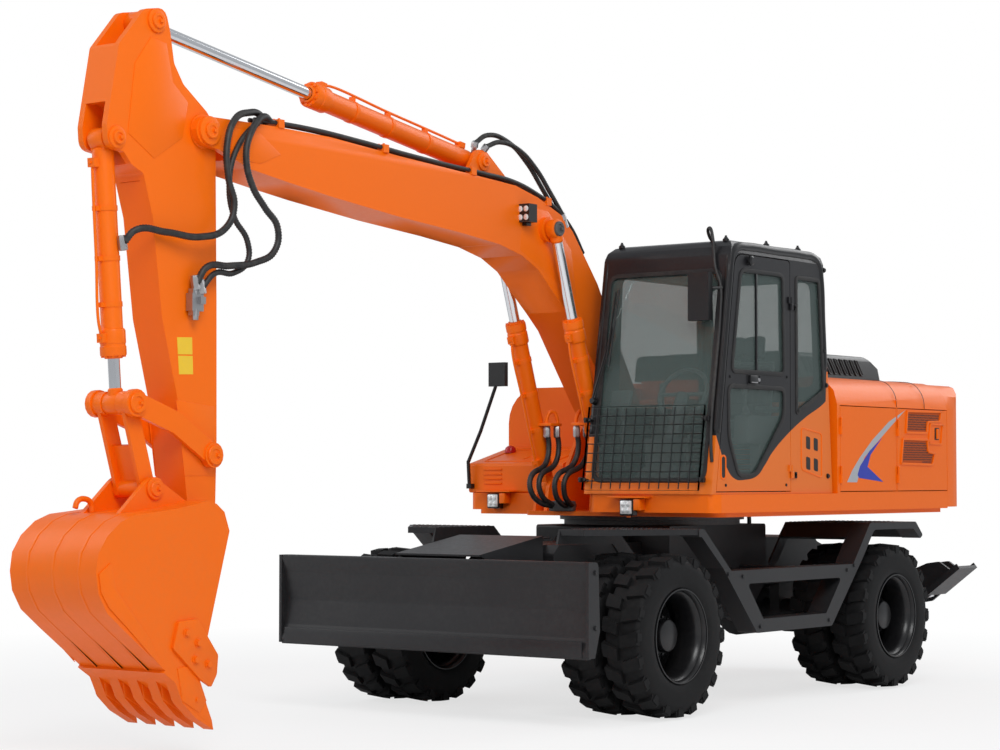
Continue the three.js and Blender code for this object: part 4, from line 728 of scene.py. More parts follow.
# ---- Bucket fittings
# A rolled digging bucket with weld ribs across its back, wear plates on its sides, bolted side cutters,
# cast adapters with pinned teeth on the lip and a lifting hook welded behind the ears.
bucket_trim = bmesh.new()
back_line = ((-3.437, 1.352), (-3.614, 1.335), (-3.756, 1.322), (-3.862, 1.285), (-3.961, 1.21),
             (-4.022, 1.12), (-4.037, 1.018), (-4.02, 0.914), (-3.957, 0.809), (-3.827, 0.707),
             (-3.509, 0.47))
for x in (-0.2, 0.0, 0.2):
    outer = [(max(y + (y + 3.55) * 0.006, -4.037), z + (z - 0.95) * 0.006) for y, z in back_line]
    inner = [(y + 0.02 * (1 if y < -3.6 else 0), z - 0.01) for y, z in reversed(back_line)]
    lapped_plate(bucket_trim, outer + inner, arm_plane + x - 0.009, arm_plane + x + 0.009, ease=0.0015)
for sx in (1, -1):
    face = arm_plane + sx * 0.335
    lapped_plate(bucket_trim, ((-3.938, 1.072), (-3.894, 0.93), (-3.644, 0.655), (-3.56, 0.5),
                               (-3.82, 0.73), (-3.95, 0.84), (-4.005, 0.92), (-4.02, 1.018)),
                 face - sx * 0.002, face + sx * 0.008)
    cutter = ((-3.444, 0.743), (-3.3, 0.75), (-3.14, 0.545), (-3.15, 0.44), (-3.195, 0.372), (-3.28, 0.421),
              (-3.487, 0.599))
    lapped_plate(bucket_trim, cutter, face - sx * 0.002, face + sx * 0.02, round_by=0.01)
    for y, z in ((-3.39, 0.68), (-3.3, 0.62), (-3.32, 0.53), (-3.22, 0.5)):
        hex_bolt(bucket_trim, place_at(face + sx * 0.02, y, z), (sx, 0, 0), 0.02, 0.016)
    for name, radius in (("link_tip", 0.062), ("bucket_foot", 0.074)):
        round_eye(bucket_trim, pin_at(name, arm_plane + sx * 0.162), radius, 0.008)
        pin_cap(bucket_trim, name, arm_plane + sx * 0.17, sx, radius * 0.7, thick=0.01)
for step in range(-2, 3):
    x = arm_plane + step * 0.148
    lapped_plate(bucket_trim, ((-3.44, 0.49), (-3.4, 0.31), (-3.27, 0.235), (-3.215, 0.3), (-3.27, 0.42),
                               (-3.36, 0.5)), x - 0.046, x + 0.046, ease=0.006)
    lapped_plate(bucket_trim, ((-3.33, 0.262), (-3.24, 0.2), (-3.156, 0.138), (-3.168, 0.19),
                               (-3.215, 0.29), (-3.26, 0.33)), x - 0.04, x + 0.04, ease=0.004)
    for sx in (1, -1):
        hex_bolt(bucket_trim, place_at(x + sx * 0.046, -3.29, 0.31), (sx, 0, 0), 0.013, 0.006)
hook_centre = place_at(arm_plane - 0.1, -3.72, 1.36)
new_piece("bucket_wear_parts", bucket_trim, bucket_paint, "bucket")
pipe("bucket_lifting_hook", [hook_centre + Vector((0, 0.06, -0.03)), hook_centre + Vector((0, 0.05, 0.02)),
                             hook_centre + Vector((0, 0.0, 0.045)), hook_centre + Vector((0, -0.05, 0.03)),
                             hook_centre + Vector((0, -0.065, -0.005))], 0.016, bucket_paint, "bucket")

# ---- Operator's cab shell
# A pressed steel shell on a bent tube frame, sprayed black above and orange below a curved divide. Panes
# sit in black rubber, and the door hangs on two barrel hinges at its rear edge.
cab_left, cab_right = 1.22, 0.215
cab_slope = 0.1575


def cab_front(z):
    """How far back the leaning front of the cab stands at height z."""
    return 0.385 + (z - 1.41) * cab_slope + front_axle_y


def on_front(a, b, out):
    """A place on the leaning front of the cab: a across, b up, out forward."""
    return Vector((a, cab_front(b) - out * 0.9878, b + out * 0.1556))


def on_left(a, b, out):
    """A place on the cab's left side: a rearward, b up, out sideways."""
    return place_at(cab_left + out, a, b)


def pour(work, mesh):
    """Adds one bmesh to another and frees the first."""
    spare = bpy.data.meshes.new("spare")
    work.to_mesh(spare)
    work.free()
    mesh.from_mesh(spare)
    bpy.data.meshes.remove(spare)


def set_on(mesh, outline, place, low, high, ring=0.0, round_by=0.0, ease=0.0015, steps=4):
    """A plate or a ring with the outline given, from low to high on a surface that place describes."""
    work = bmesh.new()
    corners = [work.verts.new((a, b, low)) for a, b in outline]
    work.faces.new(corners)
    if round_by:
        ease_over(work, corners, round_by, "VERTICES", steps)
    if ring:
        middle = list(work.faces)
        bmesh.ops.inset_region(work, faces=middle, thickness=ring, use_even_offset=True,
                               use_boundary=True)
        bmesh.ops.delete(work, geom=middle, context="FACES_ONLY")
    grown = bmesh.ops.extrude_face_region(work, geom=list(work.faces))["geom"]
    raised = [item for item in grown if isinstance(item, bmesh.types.BMVert)]
    bmesh.ops.translate(work, verts=raised, vec=(0, 0, high - low))
    bmesh.ops.recalc_face_normals(work, faces=work.faces)
    if ease:
        rim = [e for e in work.edges if len(e.link_faces) == 2 and e.verts[0].co.z > high - 1e-6
               and e.verts[1].co.z > high - 1e-6 and e.calc_face_angle(0) > 1.0]
        ease_over(work, rim, ease, "EDGES", 2)
    for vert in work.verts:
        vert.co = place(*vert.co)
    bmesh.ops.recalc_face_normals(work, faces=work.faces)
    pour(work, mesh)


def rod_between(mesh, start, stop, radius, sides=10):
    """A straight round bar between two places."""
    start, stop = Vector(start), Vector(stop)
    turn = (stop - start).to_track_quat("Z", "Y").to_matrix().to_4x4()
    bmesh.ops.create_cone(mesh, cap_ends=True, segments=sides, radius1=radius, radius2=radius,
                          depth=(stop - start).length, matrix=Matrix.Translation((start + stop) / 2) @ turn)


def eased_block(mesh, centre, size, ease=0.004, turn=None):
    """A block with eased edges, turned in place when a turn is given."""
    work = bmesh.new()
    bmesh.ops.create_cube(work, size=1)
    bmesh.ops.scale(work, verts=work.verts, vec=size)
    ease_over(work, list(work.edges), ease, "EDGES", 2)
    bmesh.ops.transform(work, matrix=Matrix.Translation(centre) @ (turn or Matrix.Identity(4)),
                        verts=work.verts)
    pour(work, mesh)


def grown(outline, by):
    """The outline spread by the same amount on every side of its middle."""
    low_a, high_a = min(a for a, _ in outline), max(a for a, _ in outline)
    low_b, high_b = min(b for _, b in outline), max(b for _, b in outline)
    mid_a, mid_b = (low_a + high_a) / 2, (low_b + high_b) / 2
    return [(mid_a + (a - mid_a) * (1 + 2 * by / (high_a - low_a)),
             mid_b + (b - mid_b) * (1 + 2 * by / (high_b - low_b))) for a, b in outline]


cab_two_tone = worn("cab_two_tone", (0.008, 0.008, 0.009), 0.3, dust_share=0.01, coat=0.1, specular=0.32)
nodes, links = cab_two_tone.node_tree.nodes, cab_two_tone.node_tree.links
spot = add_node(nodes, links, "TexCoord")
axes = add_node(nodes, links, "SeparateXYZ", input0=spot.outputs["Object"])
divide_start, divide_reach, divide_low = 0.3, 1.7, 1.4
divide = ((0.30, 1.802), (0.44, 1.802), (0.49, 1.71), (0.56, 1.6), (0.675, 1.511), (0.80, 1.505),
          (0.95, 1.53), (1.05, 1.6), (1.147, 1.685), (1.345, 1.809), (1.587, 1.928), (1.82, 2.02),
          (1.875, 2.05), (1.885, 2.255), (2.0, 2.255))
along = add_node(nodes, links, "MapRange", From_Min=divide_start + front_axle_y,
                 From_Max=divide_start + divide_reach + front_axle_y, Value=axes.outputs["Y"])
line = add_node(nodes, links, "FloatCurve", Value=along.outputs["Result"])
curve = line.mapping.curves[0]
steps = [((y - divide_start) / divide_reach, z - divide_low) for y, z in divide]
curve.points[0].location, curve.points[-1].location = steps[0], steps[-1]
for step in steps[1:-1]:
    curve.points.new(*step)
for point in curve.points:
    point.handle_type = "VECTOR" if point.location[0] > 0.9 or point.location[0] < 0.09 else "AUTO"
line.mapping.update()
height = add_node(nodes, links, "Math", "SUBTRACT", input0=axes.outputs["Z"], input1=divide_low)
below = add_node(nodes, links, "Math", "LESS_THAN", input0=height.outputs[0], input1=line.outputs[0])
near_x = add_node(nodes, links, "Math", "COMPARE", input0=axes.outputs["X"], input1=0.7175, input2=0.46)
near_y = add_node(nodes, links, "Math", "COMPARE", input0=axes.outputs["Y"], input1=1.18 + front_axle_y,
                  input2=0.68)
inside = add_node(nodes, links, "Math", "MULTIPLY", input0=near_x.outputs[0], input1=near_y.outputs[0])
outer = add_node(nodes, links, "Math", "SUBTRACT", input0=below.outputs[0], input1=inside.outputs[0])
outer.use_clamp = True
two = add_node(nodes, links, "Mix", "RGBA", A=(0.013, 0.013, 0.015, 1), B=(0.82, 0.172, 0.01, 1),
               Factor=outer.outputs[0])
links.new(two.outputs["Result"], nodes["Mix"].inputs["A"])
for name in ("cab_frame", "cab_door"):
    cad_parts[name].data.materials.clear()
    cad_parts[name].data.materials.append(cab_two_tone)

screen_edge = ((0.277, 1.5), (1.158, 1.5), (1.158, 2.88), (0.277, 2.88))
upper_pane = ((cab_front(2.215) - front_axle_y + 0.125, 2.215), (1.315, 2.215), (1.3, 2.89),
              (cab_front(2.89) - front_axle_y + 0.135, 2.89))
lower_pane = ((0.72, 1.53), (0.93, 1.53), (1.31, 1.92), (1.31, 2.12), (0.6, 2.12), (0.6, 1.78))
quarter_pane = ((1.475, 1.95), (1.85, 2.12), (1.79, 2.885), (1.475, 2.885))
for name, outline, place, body, corner in (
        ("windscreen_seal", screen_edge, on_front, "upper", 0.075),
        ("door_upper_seal", upper_pane, on_left, "cab_door", 0.06),
        ("door_lower_seal", lower_pane, on_left, "cab_door", 0.06),
        ("quarter_seal", quarter_pane, on_left, "upper", 0.04)):
    rubber = bmesh.new()
    set_on(rubber, grown(outline, 0.014), place, -0.003, 0.006, ring=0.03, round_by=corner, ease=0.004)
    new_piece(name, rubber, seal_rubber_and_shade, body)

for side, x in (("left", 1.2), ("right", 0.235)):
    rail = [(cab_front(z) - front_axle_y + 0.027, z) for z in (1.81, 2.1, 2.5, 2.82, 2.92)]
    rail += [(0.672, 2.99), (0.74, 3.035), (0.85, 3.047), (1.2, 3.047), (1.6, 3.047), (1.74, 3.035),
             (1.805, 2.985), (1.83, 2.9), (1.85, 2.6), (1.872, 2.27)]
    pipe(f"cab_tube_frame_{side}", [place_at(x, y, z) for y, z in rail], 0.031, cab_paint, "upper",
         sides=8)

door_parts = bmesh.new()
set_on(door_parts, ((0.95, 2.225), (0.966, 2.225), (0.966, 2.88), (0.95, 2.88)), on_left, -0.012, 0.002)
set_on(door_parts, ((0.83, 2.132), (1.0, 2.132), (1.0, 2.206), (0.83, 2.206)), on_left, -0.004, 0.004,
       ring=0.01, round_by=0.012)
set_on(door_parts, ((0.85, 2.142), (0.94, 2.142), (0.95, 2.16), (0.94, 2.196), (0.85, 2.196)), on_left,
       -0.002, 0.018, round_by=0.008, ease=0.005)
turn_profile(door_parts, [(0, 0.035), (0.02, 0.035), (0.032, 0.026), (0.034, 0.012), (0.02, 0.008),
                          (0.016, -0.004), (0, -0.004)],
             on_left(0.861, 2.955, 0), (1, 0, 0), steps=28)
for y, z in ((0.56, 1.47), (1.33, 1.47), (1.35, 2.2), (0.62, 2.18)):
    hex_bolt(door_parts, on_left(y, z, 0), (1, 0, 0), 0.008, 0.006)
new_piece("door_fittings", door_parts, cab_paint, "cab_door")
lock = bmesh.new()
turn_profile(lock, [(0, 0.01), (0.012, 0.01), (0.014, 0.006), (0.014, -0.004), (0, -0.004)],
             on_left(0.975, 2.168, 0), (1, 0, 0), steps=20)
set_on(lock, ((0.862, 2.146), (0.938, 2.146), (0.94, 2.152), (0.862, 2.152)), on_left, 0.01, 0.0195)
new_piece("door_lock", lock, bare_steel, "cab_door")
slot_edge = ((0.497, 1.505), (0.565, 1.505), (0.565, 1.668), (0.497, 1.668))
slot_rim = bmesh.new()
set_on(slot_rim, slot_edge, on_left, -0.002, 0.004, ring=0.012, round_by=0.03, ease=0.002, steps=6)
new_piece("grab_slot_rim", slot_rim, orange_paint, "cab_door")
# A flat black plate in the grab slot paints the shade of the recess.
slot_shade = bmesh.new()
set_on(slot_shade, grown(slot_edge, -0.009), on_left, -0.002, 0.0006, round_by=0.024, ease=0, steps=6)
new_piece("grab_slot_shade", slot_shade, seal_rubber_and_shade, "cab_door")

vent_edge = ((1.53, 1.572), (1.817, 1.511), (1.82, 1.829), (1.533, 1.866))
vent_bead = bmesh.new()
set_on(vent_bead, vent_edge, on_left, -0.002, 0.004, ring=0.012, round_by=0.03, ease=0.002)
new_piece("cab_vent_bead", vent_bead, orange_paint, "upper")
# Flat black plates in the vent slots paint the shade behind the openings.
cab_vent_shade = bmesh.new()
for y in (1.6, 1.705):
    for z in (1.59, 1.73):
        rise = -0.02 * (y - 1.5) * 5
        set_on(cab_vent_shade, ((y, z + rise), (y + 0.055, z + rise - 0.01), (y + 0.055, z + rise + 0.075),
                            (y, z + rise + 0.085)), on_left, -0.002, 0.0015, round_by=0.012, ease=0)
new_piece("cab_vent_slot_shade", cab_vent_shade, seal_rubber_and_shade, "upper")

shell_parts = bmesh.new()
for x, y in ((1.13, 0.72), (1.15, 1.2), (1.15, 1.62), (0.3, 0.72), (0.3, 1.2), (0.3, 1.62)):
    turn_profile(shell_parts, [(0, 0.006), (0.02, 0.006), (0.022, 0.003), (0.022, -0.01), (0, -0.01)],
                 place_at(x, y, 3.09), (0, 0, 1), steps=24)
    rod_between(shell_parts, place_at(x, y, 3.093), place_at(x, y, 3.118), 0.008)
    hex_bolt(shell_parts, place_at(x, y, 3.095), (0, 0, 1), 0.013, 0.011)
for y, z in ((1.875, 2.96), (1.9, 2.16), (1.915, 1.53), (1.87, 2.4)):
    hex_bolt(shell_parts, on_left(y - 0.02, z, 0), (1, 0, 0), 0.014, 0.012)
for level in (1.56, 2.7):
    for dy in (-0.05, 0.05):
        eased_block(shell_parts, on_left(1.443, level - 0.024, 0.003), (0.01, 0.05, 0.042), 0.003)
    for dz in (-0.012, -0.034):
        hex_bolt(shell_parts, on_left(1.443, level + dz, 0.008), (1, 0, 0), 0.006, 0.006)
new_piece("cab_shell_fittings", shell_parts, cab_paint, "upper")
pipe("roof_lead", [place_at(0.98, 0.8, 3.088), place_at(0.99, 0.74, 3.12),
                   place_at(1.01, 0.69, 3.16), place_at(1.05, 0.655, 3.165),
                   place_at(1.085, 0.625, 3.11), (1.1, cab_front(3.0) - 0.016, 3.0),
                   (1.12, cab_front(2.9) - 0.016, 2.9), (1.17, cab_front(2.78) - 0.016, 2.78),
                   (1.185, cab_front(2.6) - 0.014, 2.6), (1.185, cab_front(2.2) - 0.014, 2.2),
                   (1.185, cab_front(1.86) - 0.014, 1.86), (1.2, cab_front(1.7) - 0.016, 1.7),
                   (1.205, cab_front(1.62), 1.62)], 0.011, hose_rubber, "upper")

# ---- Windscreen guard and wiper
# A welded mesh of round wire in a flat steel frame, pinned to four brackets over the lower screen. A wiper
# arm is parked up the right pillar.
guard_mesh = bmesh.new()
guard_low, guard_high, guard_near, guard_far = 1.43, 1.985, 0.226, 1.143
set_on(guard_mesh, ((guard_near, guard_low), (guard_far, guard_low), (guard_far, guard_high),
                    (guard_near, guard_high)), on_front, 0.028, 0.05, ring=0.028, ease=0.003)
for index in range(1, 12):
    x = guard_near + (guard_far - guard_near) * index / 12
    rod_between(guard_mesh, on_front(x, guard_low + 0.01, 0.043), on_front(x, guard_high - 0.01, 0.043),
                0.0042, 8)
for index in range(1, 9):
    z = guard_low + (guard_high - guard_low) * index / 9
    rod_between(guard_mesh, on_front(guard_near + 0.01, z, 0.035), on_front(guard_far - 0.01, z, 0.035),
                0.0042, 8)
for x, outward in ((guard_near, -1), (guard_far, 1)):
    for z in (1.5, 1.9):
        rod_between(guard_mesh, on_front(x - outward * 0.012, z, 0.001),
                    on_front(x - outward * 0.012, z, 0.045), 0.01)
        eased_block(guard_mesh, on_front(x + outward * 0.016, z, 0.03), (0.04, 0.03, 0.034), 0.003)
        hex_bolt(guard_mesh, on_front(x + outward * 0.018, z, 0.045), (0, -1, 0.15), 0.012, 0.012)
guard_piece = new_piece("screen_guard", guard_mesh, cab_paint, "upper")
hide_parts("front_guard")
wiper = bmesh.new()
rod_between(wiper, on_front(0.236, 2.04, 0.03), on_front(0.355, 2.52, 0.034), 0.0065)
rod_between(wiper, on_front(0.252, 2.04, 0.03), on_front(0.362, 2.5, 0.034), 0.004)
rod_between(wiper, on_front(0.345, 2.26, 0.026), on_front(0.375, 2.78, 0.026), 0.006)
eased_block(wiper, on_front(0.345, 2.26, 0.018) + Vector((0.015, 0, 0.26)), (0.008, 0.012, 0.5), 0.002,
            Matrix.Rotation(-0.155, 4, "X") @ Matrix.Rotation(0.058, 4, "Y"))
turn_profile(wiper, [(0, 0.045), (0.018, 0.045), (0.022, 0.036), (0.024, 0.0), (0, 0.0)],
             on_front(0.243, 2.03, 0), (0, -1, 0.157), steps=24)
new_piece("wiper", wiper, cab_paint, "upper")
mirror_faces = bmesh.new()
for x0, x1, y, z0, z1 in ((1.0, 1.14, 0.5215, 2.56, 2.845), (-1.255, -1.135, 1.3115, 2.205, 2.351)):
    set_on(mirror_faces, ((x0, z0), (x1, z0), (x1, z1), (x0, z1)),
           lambda a, b, out, y=y: Vector((a, y + front_axle_y + out, b)), -0.002, 0.0015, round_by=0.02)
new_piece("mirror_glasses", mirror_faces, hard_chrome, "upper")

# ---- Seat and controls
# A sprung seat of foam blocks in woven cloth on a steel pedestal, with a lever console on each side and a
# steering wheel on a leaning column.


def foam_block(name, size, centre, lean, channels):
    """A cushion of foam in cloth: rounded, blown up a little, with sewn channels pressed in."""
    shape = bmesh.new()
    bmesh.ops.create_cube(shape, size=1)
    bmesh.ops.scale(shape, verts=shape.verts, vec=size)
    ease_over(shape, list(shape.edges), min(size) * 0.36, "EDGES", 5)
    bmesh.ops.triangulate(shape, faces=shape.faces)
    data = bpy.data.meshes.new(name)
    shape.to_mesh(data)
    shape.free()
    work = bpy.data.objects.new(name, data)
    bpy.context.scene.collection.objects.link(work)
    remesh = work.modifiers.new("even_net", "REMESH")
    remesh.mode = "VOXEL"
    remesh.voxel_size = 0.006
    even = bpy.data.meshes.new_from_object(work.evaluated_get(bpy.context.evaluated_depsgraph_get()))
    work.modifiers.clear()
    work.data = even
    start = [v.co.copy() for v in even.vertices]
    cloth = work.modifiers.new("blown", "CLOTH")
    cloth.settings.use_pressure = True
    cloth.settings.uniform_pressure_force = 4.0
    cloth.settings.quality = 5
    cloth.settings.effector_weights.gravity = 0.0
    cloth.point_cache.frame_end = 20
    for step in range(1, 21):
        bpy.context.scene.frame_set(step)
    blown = bpy.data.meshes.new_from_object(work.evaluated_get(bpy.context.evaluated_depsgraph_get()))
    work.modifiers.clear()
    work.data = blown
    bpy.context.scene.frame_set(1)
    cloth_net = bmesh.new()
    cloth_net.from_mesh(work.data)
    cloth_net.verts.ensure_lookup_table()
    for vert, first in zip(cloth_net.verts, start):
        move = vert.co - first
        if move.length > 0.014:
            vert.co = first + move.normalized() * 0.014
        press = 0.0
        for axis, at, depth in channels:
            away = abs(first[axis] - at)
            press += depth * math.exp(-(away / 0.007) ** 2)
        vert.co -= vert.normal * press
    bmesh.ops.transform(cloth_net, matrix=Matrix.Translation(centre) @ Matrix.Rotation(lean, 4, "X"),
                        verts=cloth_net.verts)
    bpy.data.objects.remove(work)
    piece = new_piece(name, cloth_net, seat_cloth, "upper", smooth=80, recalc=True)
    return piece


seat_middle = 0.7
base_cushion = foam_block("seat_base_cushion", (0.44, 0.4, 0.1),
                          place_at(seat_middle, 1.35, 1.845), 0.07,
                          ((0, -0.14, 0.006), (0, 0.14, 0.006), (1, -0.06, 0.005), (1, 0.07, 0.005)))
back_cushion = foam_block("seat_back_cushion", (0.43, 0.1, 0.42),
                          place_at(seat_middle, 1.622, 2.1), -0.13,
                          ((0, -0.13, 0.006), (0, 0.13, 0.006), (2, -0.08, 0.005), (2, 0.06, 0.005)))
head_cushion = foam_block("seat_head_cushion", (0.3, 0.075, 0.17),
                          place_at(seat_middle, 1.672, 2.425), -0.13, ((0, 0.0, 0.003),))
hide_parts("operator_seat")
controls = bmesh.new()
eased_block(controls, place_at(seat_middle, 1.66, 2.1), (0.4, 0.03, 0.46), 0.01,
            Matrix.Translation((0, 0.03, 0)) @ Matrix.Rotation(-0.13, 4, "X"))
eased_block(controls, place_at(seat_middle, 1.4, 1.77), (0.4, 0.44, 0.035), 0.008)
for level in range(6):
    eased_block(controls, place_at(seat_middle, 1.4, 1.56 + 0.034 * level),
                (0.34 - 0.02 * (level % 2), 0.36 - 0.02 * (level % 2), 0.028), 0.008)
for x in (seat_middle - 0.06, seat_middle + 0.06):
    rod_between(controls, place_at(x, 1.675, 2.3), place_at(x, 1.69, 2.4), 0.006)
for dx in (-0.33, 0.33):
    x = seat_middle + dx
    eased_block(controls, place_at(x, 1.3, 1.84), (0.13, 0.5, 0.2), 0.03)
    eased_block(controls, place_at(x, 1.36, 1.6), (0.09, 0.26, 0.3), 0.02)
    eased_block(controls, place_at(x, 1.42, 1.985), (0.075, 0.26, 0.04), 0.016)
    turn_profile(controls, [(0.03, 0), (0.032, 0.012), (0.022, 0.03), (0.026, 0.04), (0.017, 0.06),
                            (0.008, 0.07), (0.008, 0.13), (0.019, 0.15), (0.022, 0.19), (0.02, 0.225),
                            (0.012, 0.238), (0, 0.24)], place_at(x, 1.13, 1.935), (0, -0.12, 1), steps=20)
for dx in (-0.06, 0.06):
    eased_block(controls, place_at(seat_middle + dx * 2.4, 0.62, 1.56), (0.09, 0.17, 0.015), 0.005,
                Matrix.Rotation(0.5, 4, "X"))
    rod_between(controls, place_at(seat_middle + dx * 2.4, 0.66, 1.58),
                place_at(seat_middle + dx * 2.2, 0.72, 1.8), 0.008)
eased_block(controls, place_at(0.36, 0.62, 2.05), (0.16, 0.03, 0.12), 0.012, Matrix.Rotation(-0.3, 4, "X"))
rod_between(controls, place_at(0.36, 0.64, 1.6), place_at(0.36, 0.63, 2.0), 0.012)
new_piece("seat_and_levers", controls, console_plastic, "upper")

# ---- Hood, grilles and stripes
# Pressed steel panels with perforated grilles behind raised rims, a sunk handle, a louvred box over the
# radiator and a two-colour curved flash cut from adhesive film. The shade inside the grilles, the handle
# pocket and the radiator box slots is painted on as darker orange and black sheets.
hood_side = 1.245


def on_hood(a, b, out):
    """A place on the hood's left side: a rearward, b up, out sideways."""
    return place_at(hood_side + out, a, b)


def within(outline, a, b):
    """Whether a point lies inside an outline."""
    inside_it = False
    for (a0, b0), (a1, b1) in zip(outline, outline[1:] + outline[:1]):
        if (b0 > b) != (b1 > b) and a < a0 + (b - b0) * (a1 - a0) / (b1 - b0):
            inside_it = not inside_it
    return inside_it


silver_film = worn("silver_film", (0.52, 0.54, 0.57), 0.3, metallic=0.5, dust_share=0.05)
blue_film = worn("blue_film", (0.008, 0.03, 0.42), 0.3, dust_share=0.04)
silver_flash = [(3.0, 2.012), (2.745, 1.922), (2.5, 1.789), (2.314, 1.663), (2.205, 1.574), (2.125, 1.487),
                (2.269, 1.486), (2.313, 1.566), (2.38, 1.664), (2.536, 1.754), (2.764, 1.883)]
blue_flash = [(2.642, 1.805), (2.454, 1.709), (2.314, 1.601), (2.276, 1.539), (2.298, 1.517),
              (2.653, 1.489), (2.423, 1.596), (2.469, 1.682)]
door_seam, seam_gap = 2.867, 0.012
for label, outline, film, low, door, kept_side in (
        ("front_silver_flash", silver_flash, silver_film, 0.0006, "side_door_left_front", -1),
        ("rear_silver_flash", silver_flash, silver_film, 0.0006, "side_door_left_rear", 1),
        ("blue_flash", blue_flash, blue_film, 0.0012, "side_door_left_front", -1)):
    film_mesh = bmesh.new()
    set_on(film_mesh, outline, on_hood, low - 0.001, low, ease=0)
    found = bmesh.ops.bisect_plane(film_mesh, geom=[*film_mesh.verts, *film_mesh.edges, *film_mesh.faces],
                                   plane_co=place_at(0, door_seam + kept_side * seam_gap, 0),
                                   plane_no=(0, kept_side, 0), clear_inner=True)
    bmesh.ops.holes_fill(film_mesh,
                         edges=[e for e in found["geom_cut"] if isinstance(e, bmesh.types.BMEdge)])
    new_piece(label, film_mesh, film, door)

# The grille holes are black discs and the sheet behind them is a darker orange. Both paint the shade inside
# the recessed mesh.
grille_hole_shade = bmesh.new()
grille_rims = bmesh.new()
grille_shade_sheets = bmesh.new()
# A darker orange that paints the shade behind the grille mesh.
grille_shade_orange = worn("grille_shade_orange", (0.5, 0.075, 0.001), 0.5, dust=(0.2, 0.1, 0.04), dust_share=0.1,
                     specular=0.2)
grille_outlines = ([(3.03, 2.0), (3.01, 1.855), (3.335, 1.855), (3.345, 1.925), (3.535, 1.93),
                    (3.56, 2.005)], [(2.962, 1.795), (2.93, 1.627), (3.412, 1.62), (3.455, 1.705),
                                     (3.346, 1.717), (3.34, 1.794)])
for outline in grille_outlines:
    set_on(grille_rims, grown(outline, 0.014), on_hood, -0.002, 0.009, ring=0.016, round_by=0.014,
           ease=0.004)
    set_on(grille_shade_sheets, outline, on_hood, -0.001, 0.0004, round_by=0.01, ease=0)
    for row in range(24):
        for column in range(40):
            a = 2.9 + 0.0195 * column + (0.00975 if row % 2 else 0)
            b = 1.6 + 0.0172 * row
            if all(within(outline, a + da, b + db) for da in (-0.012, 0.012) for db in (-0.012, 0.012)):
                stud(grille_hole_shade, on_hood(a, b, -0.0005), 0.0071, 0.0071, 0.003, 6)
pocket_edge = [(3.39, 1.915), (3.36, 1.775), (3.56, 1.772), (3.585, 1.912)]
set_on(grille_rims, grown(pocket_edge, 0.01), on_hood, -0.002, 0.009, ring=0.015, round_by=0.016,
       ease=0.004)
new_piece("grille_rims", grille_rims, orange_paint, "side_door_left_rear")
# A flat black plate in the handle pocket paints its shade.
set_on(grille_hole_shade, ((3.46, 1.8), (3.53, 1.8), (3.535, 1.89), (3.465, 1.89)), on_hood, -0.002, 0.0012,
       round_by=0.008, ease=0)
new_piece("grille_hole_shade", grille_hole_shade, seal_rubber_and_shade, "side_door_left_rear")
new_piece("grille_shade_sheets", grille_shade_sheets, grille_shade_orange, "side_door_left_rear")
latches = bmesh.new()
eased_block(latches, on_hood(3.497, 1.845, 0.006), (0.014, 0.026, 0.075), 0.004)
new_piece("rear_door_latch", latches, orange_paint, "side_door_left_rear")

seam_profile = [(1.2462, 1.43), (1.2462, 1.7), (1.2462, 2.03), (1.2375, 2.1), (1.205, 2.165), (1.15, 2.213),
                (1.05, 2.2312), (0.6, 2.2312), (-0.5, 2.2312), (-1.05, 2.2312), (-1.15, 2.213),
                (-1.205, 2.165), (-1.2375, 2.1), (-1.2462, 2.03)]
for label, y, first in (("middle", 2.867, 2), ("rear", 3.3, 2)):
    pipe(f"hood_seam_{label}", [place_at(x, y, z) for x, z in seam_profile[first:]], 0.0022, seal_rubber_and_shade,
         "upper", sides=4)


def on_vent(a, b, out):
    """A place on the leaning left side of the radiator box."""
    return place_at(0.842 + (2.42 - b) * 0.22 + out, a, b)


vent_rims = bmesh.new()
# Flat black plates in the radiator box slots paint the shade behind the louvres.
radiator_slot_shade = bmesh.new()
for index in range(11):
    a = 2.18 + index * 0.078
    outline = [(a, 2.385), (a + 0.05, 2.275), (a + 0.088, 2.275), (a + 0.038, 2.385)]
    set_on(radiator_slot_shade, outline, on_vent, -0.003, 0.0015, round_by=0.006, ease=0)
    set_on(vent_rims, grown(outline, 0.004), on_vent, -0.003, 0.005, ring=0.007, round_by=0.008,
           ease=0.0015)
for x0, y0 in ((-0.3, 2.2), (0.25, 2.2)):
    for index in range(12):
        eased_block(vent_rims, place_at(x0 + 0.2, y0 + 0.07 * index, 2.424), (0.4, 0.03, 0.012), 0.003,
                    Matrix.Rotation(0.35, 4, "X"))
new_piece("radiator_box_slot_shade", radiator_slot_shade, seal_rubber_and_shade, "upper")
new_piece("radiator_box_rims", vent_rims, cab_paint, "upper")

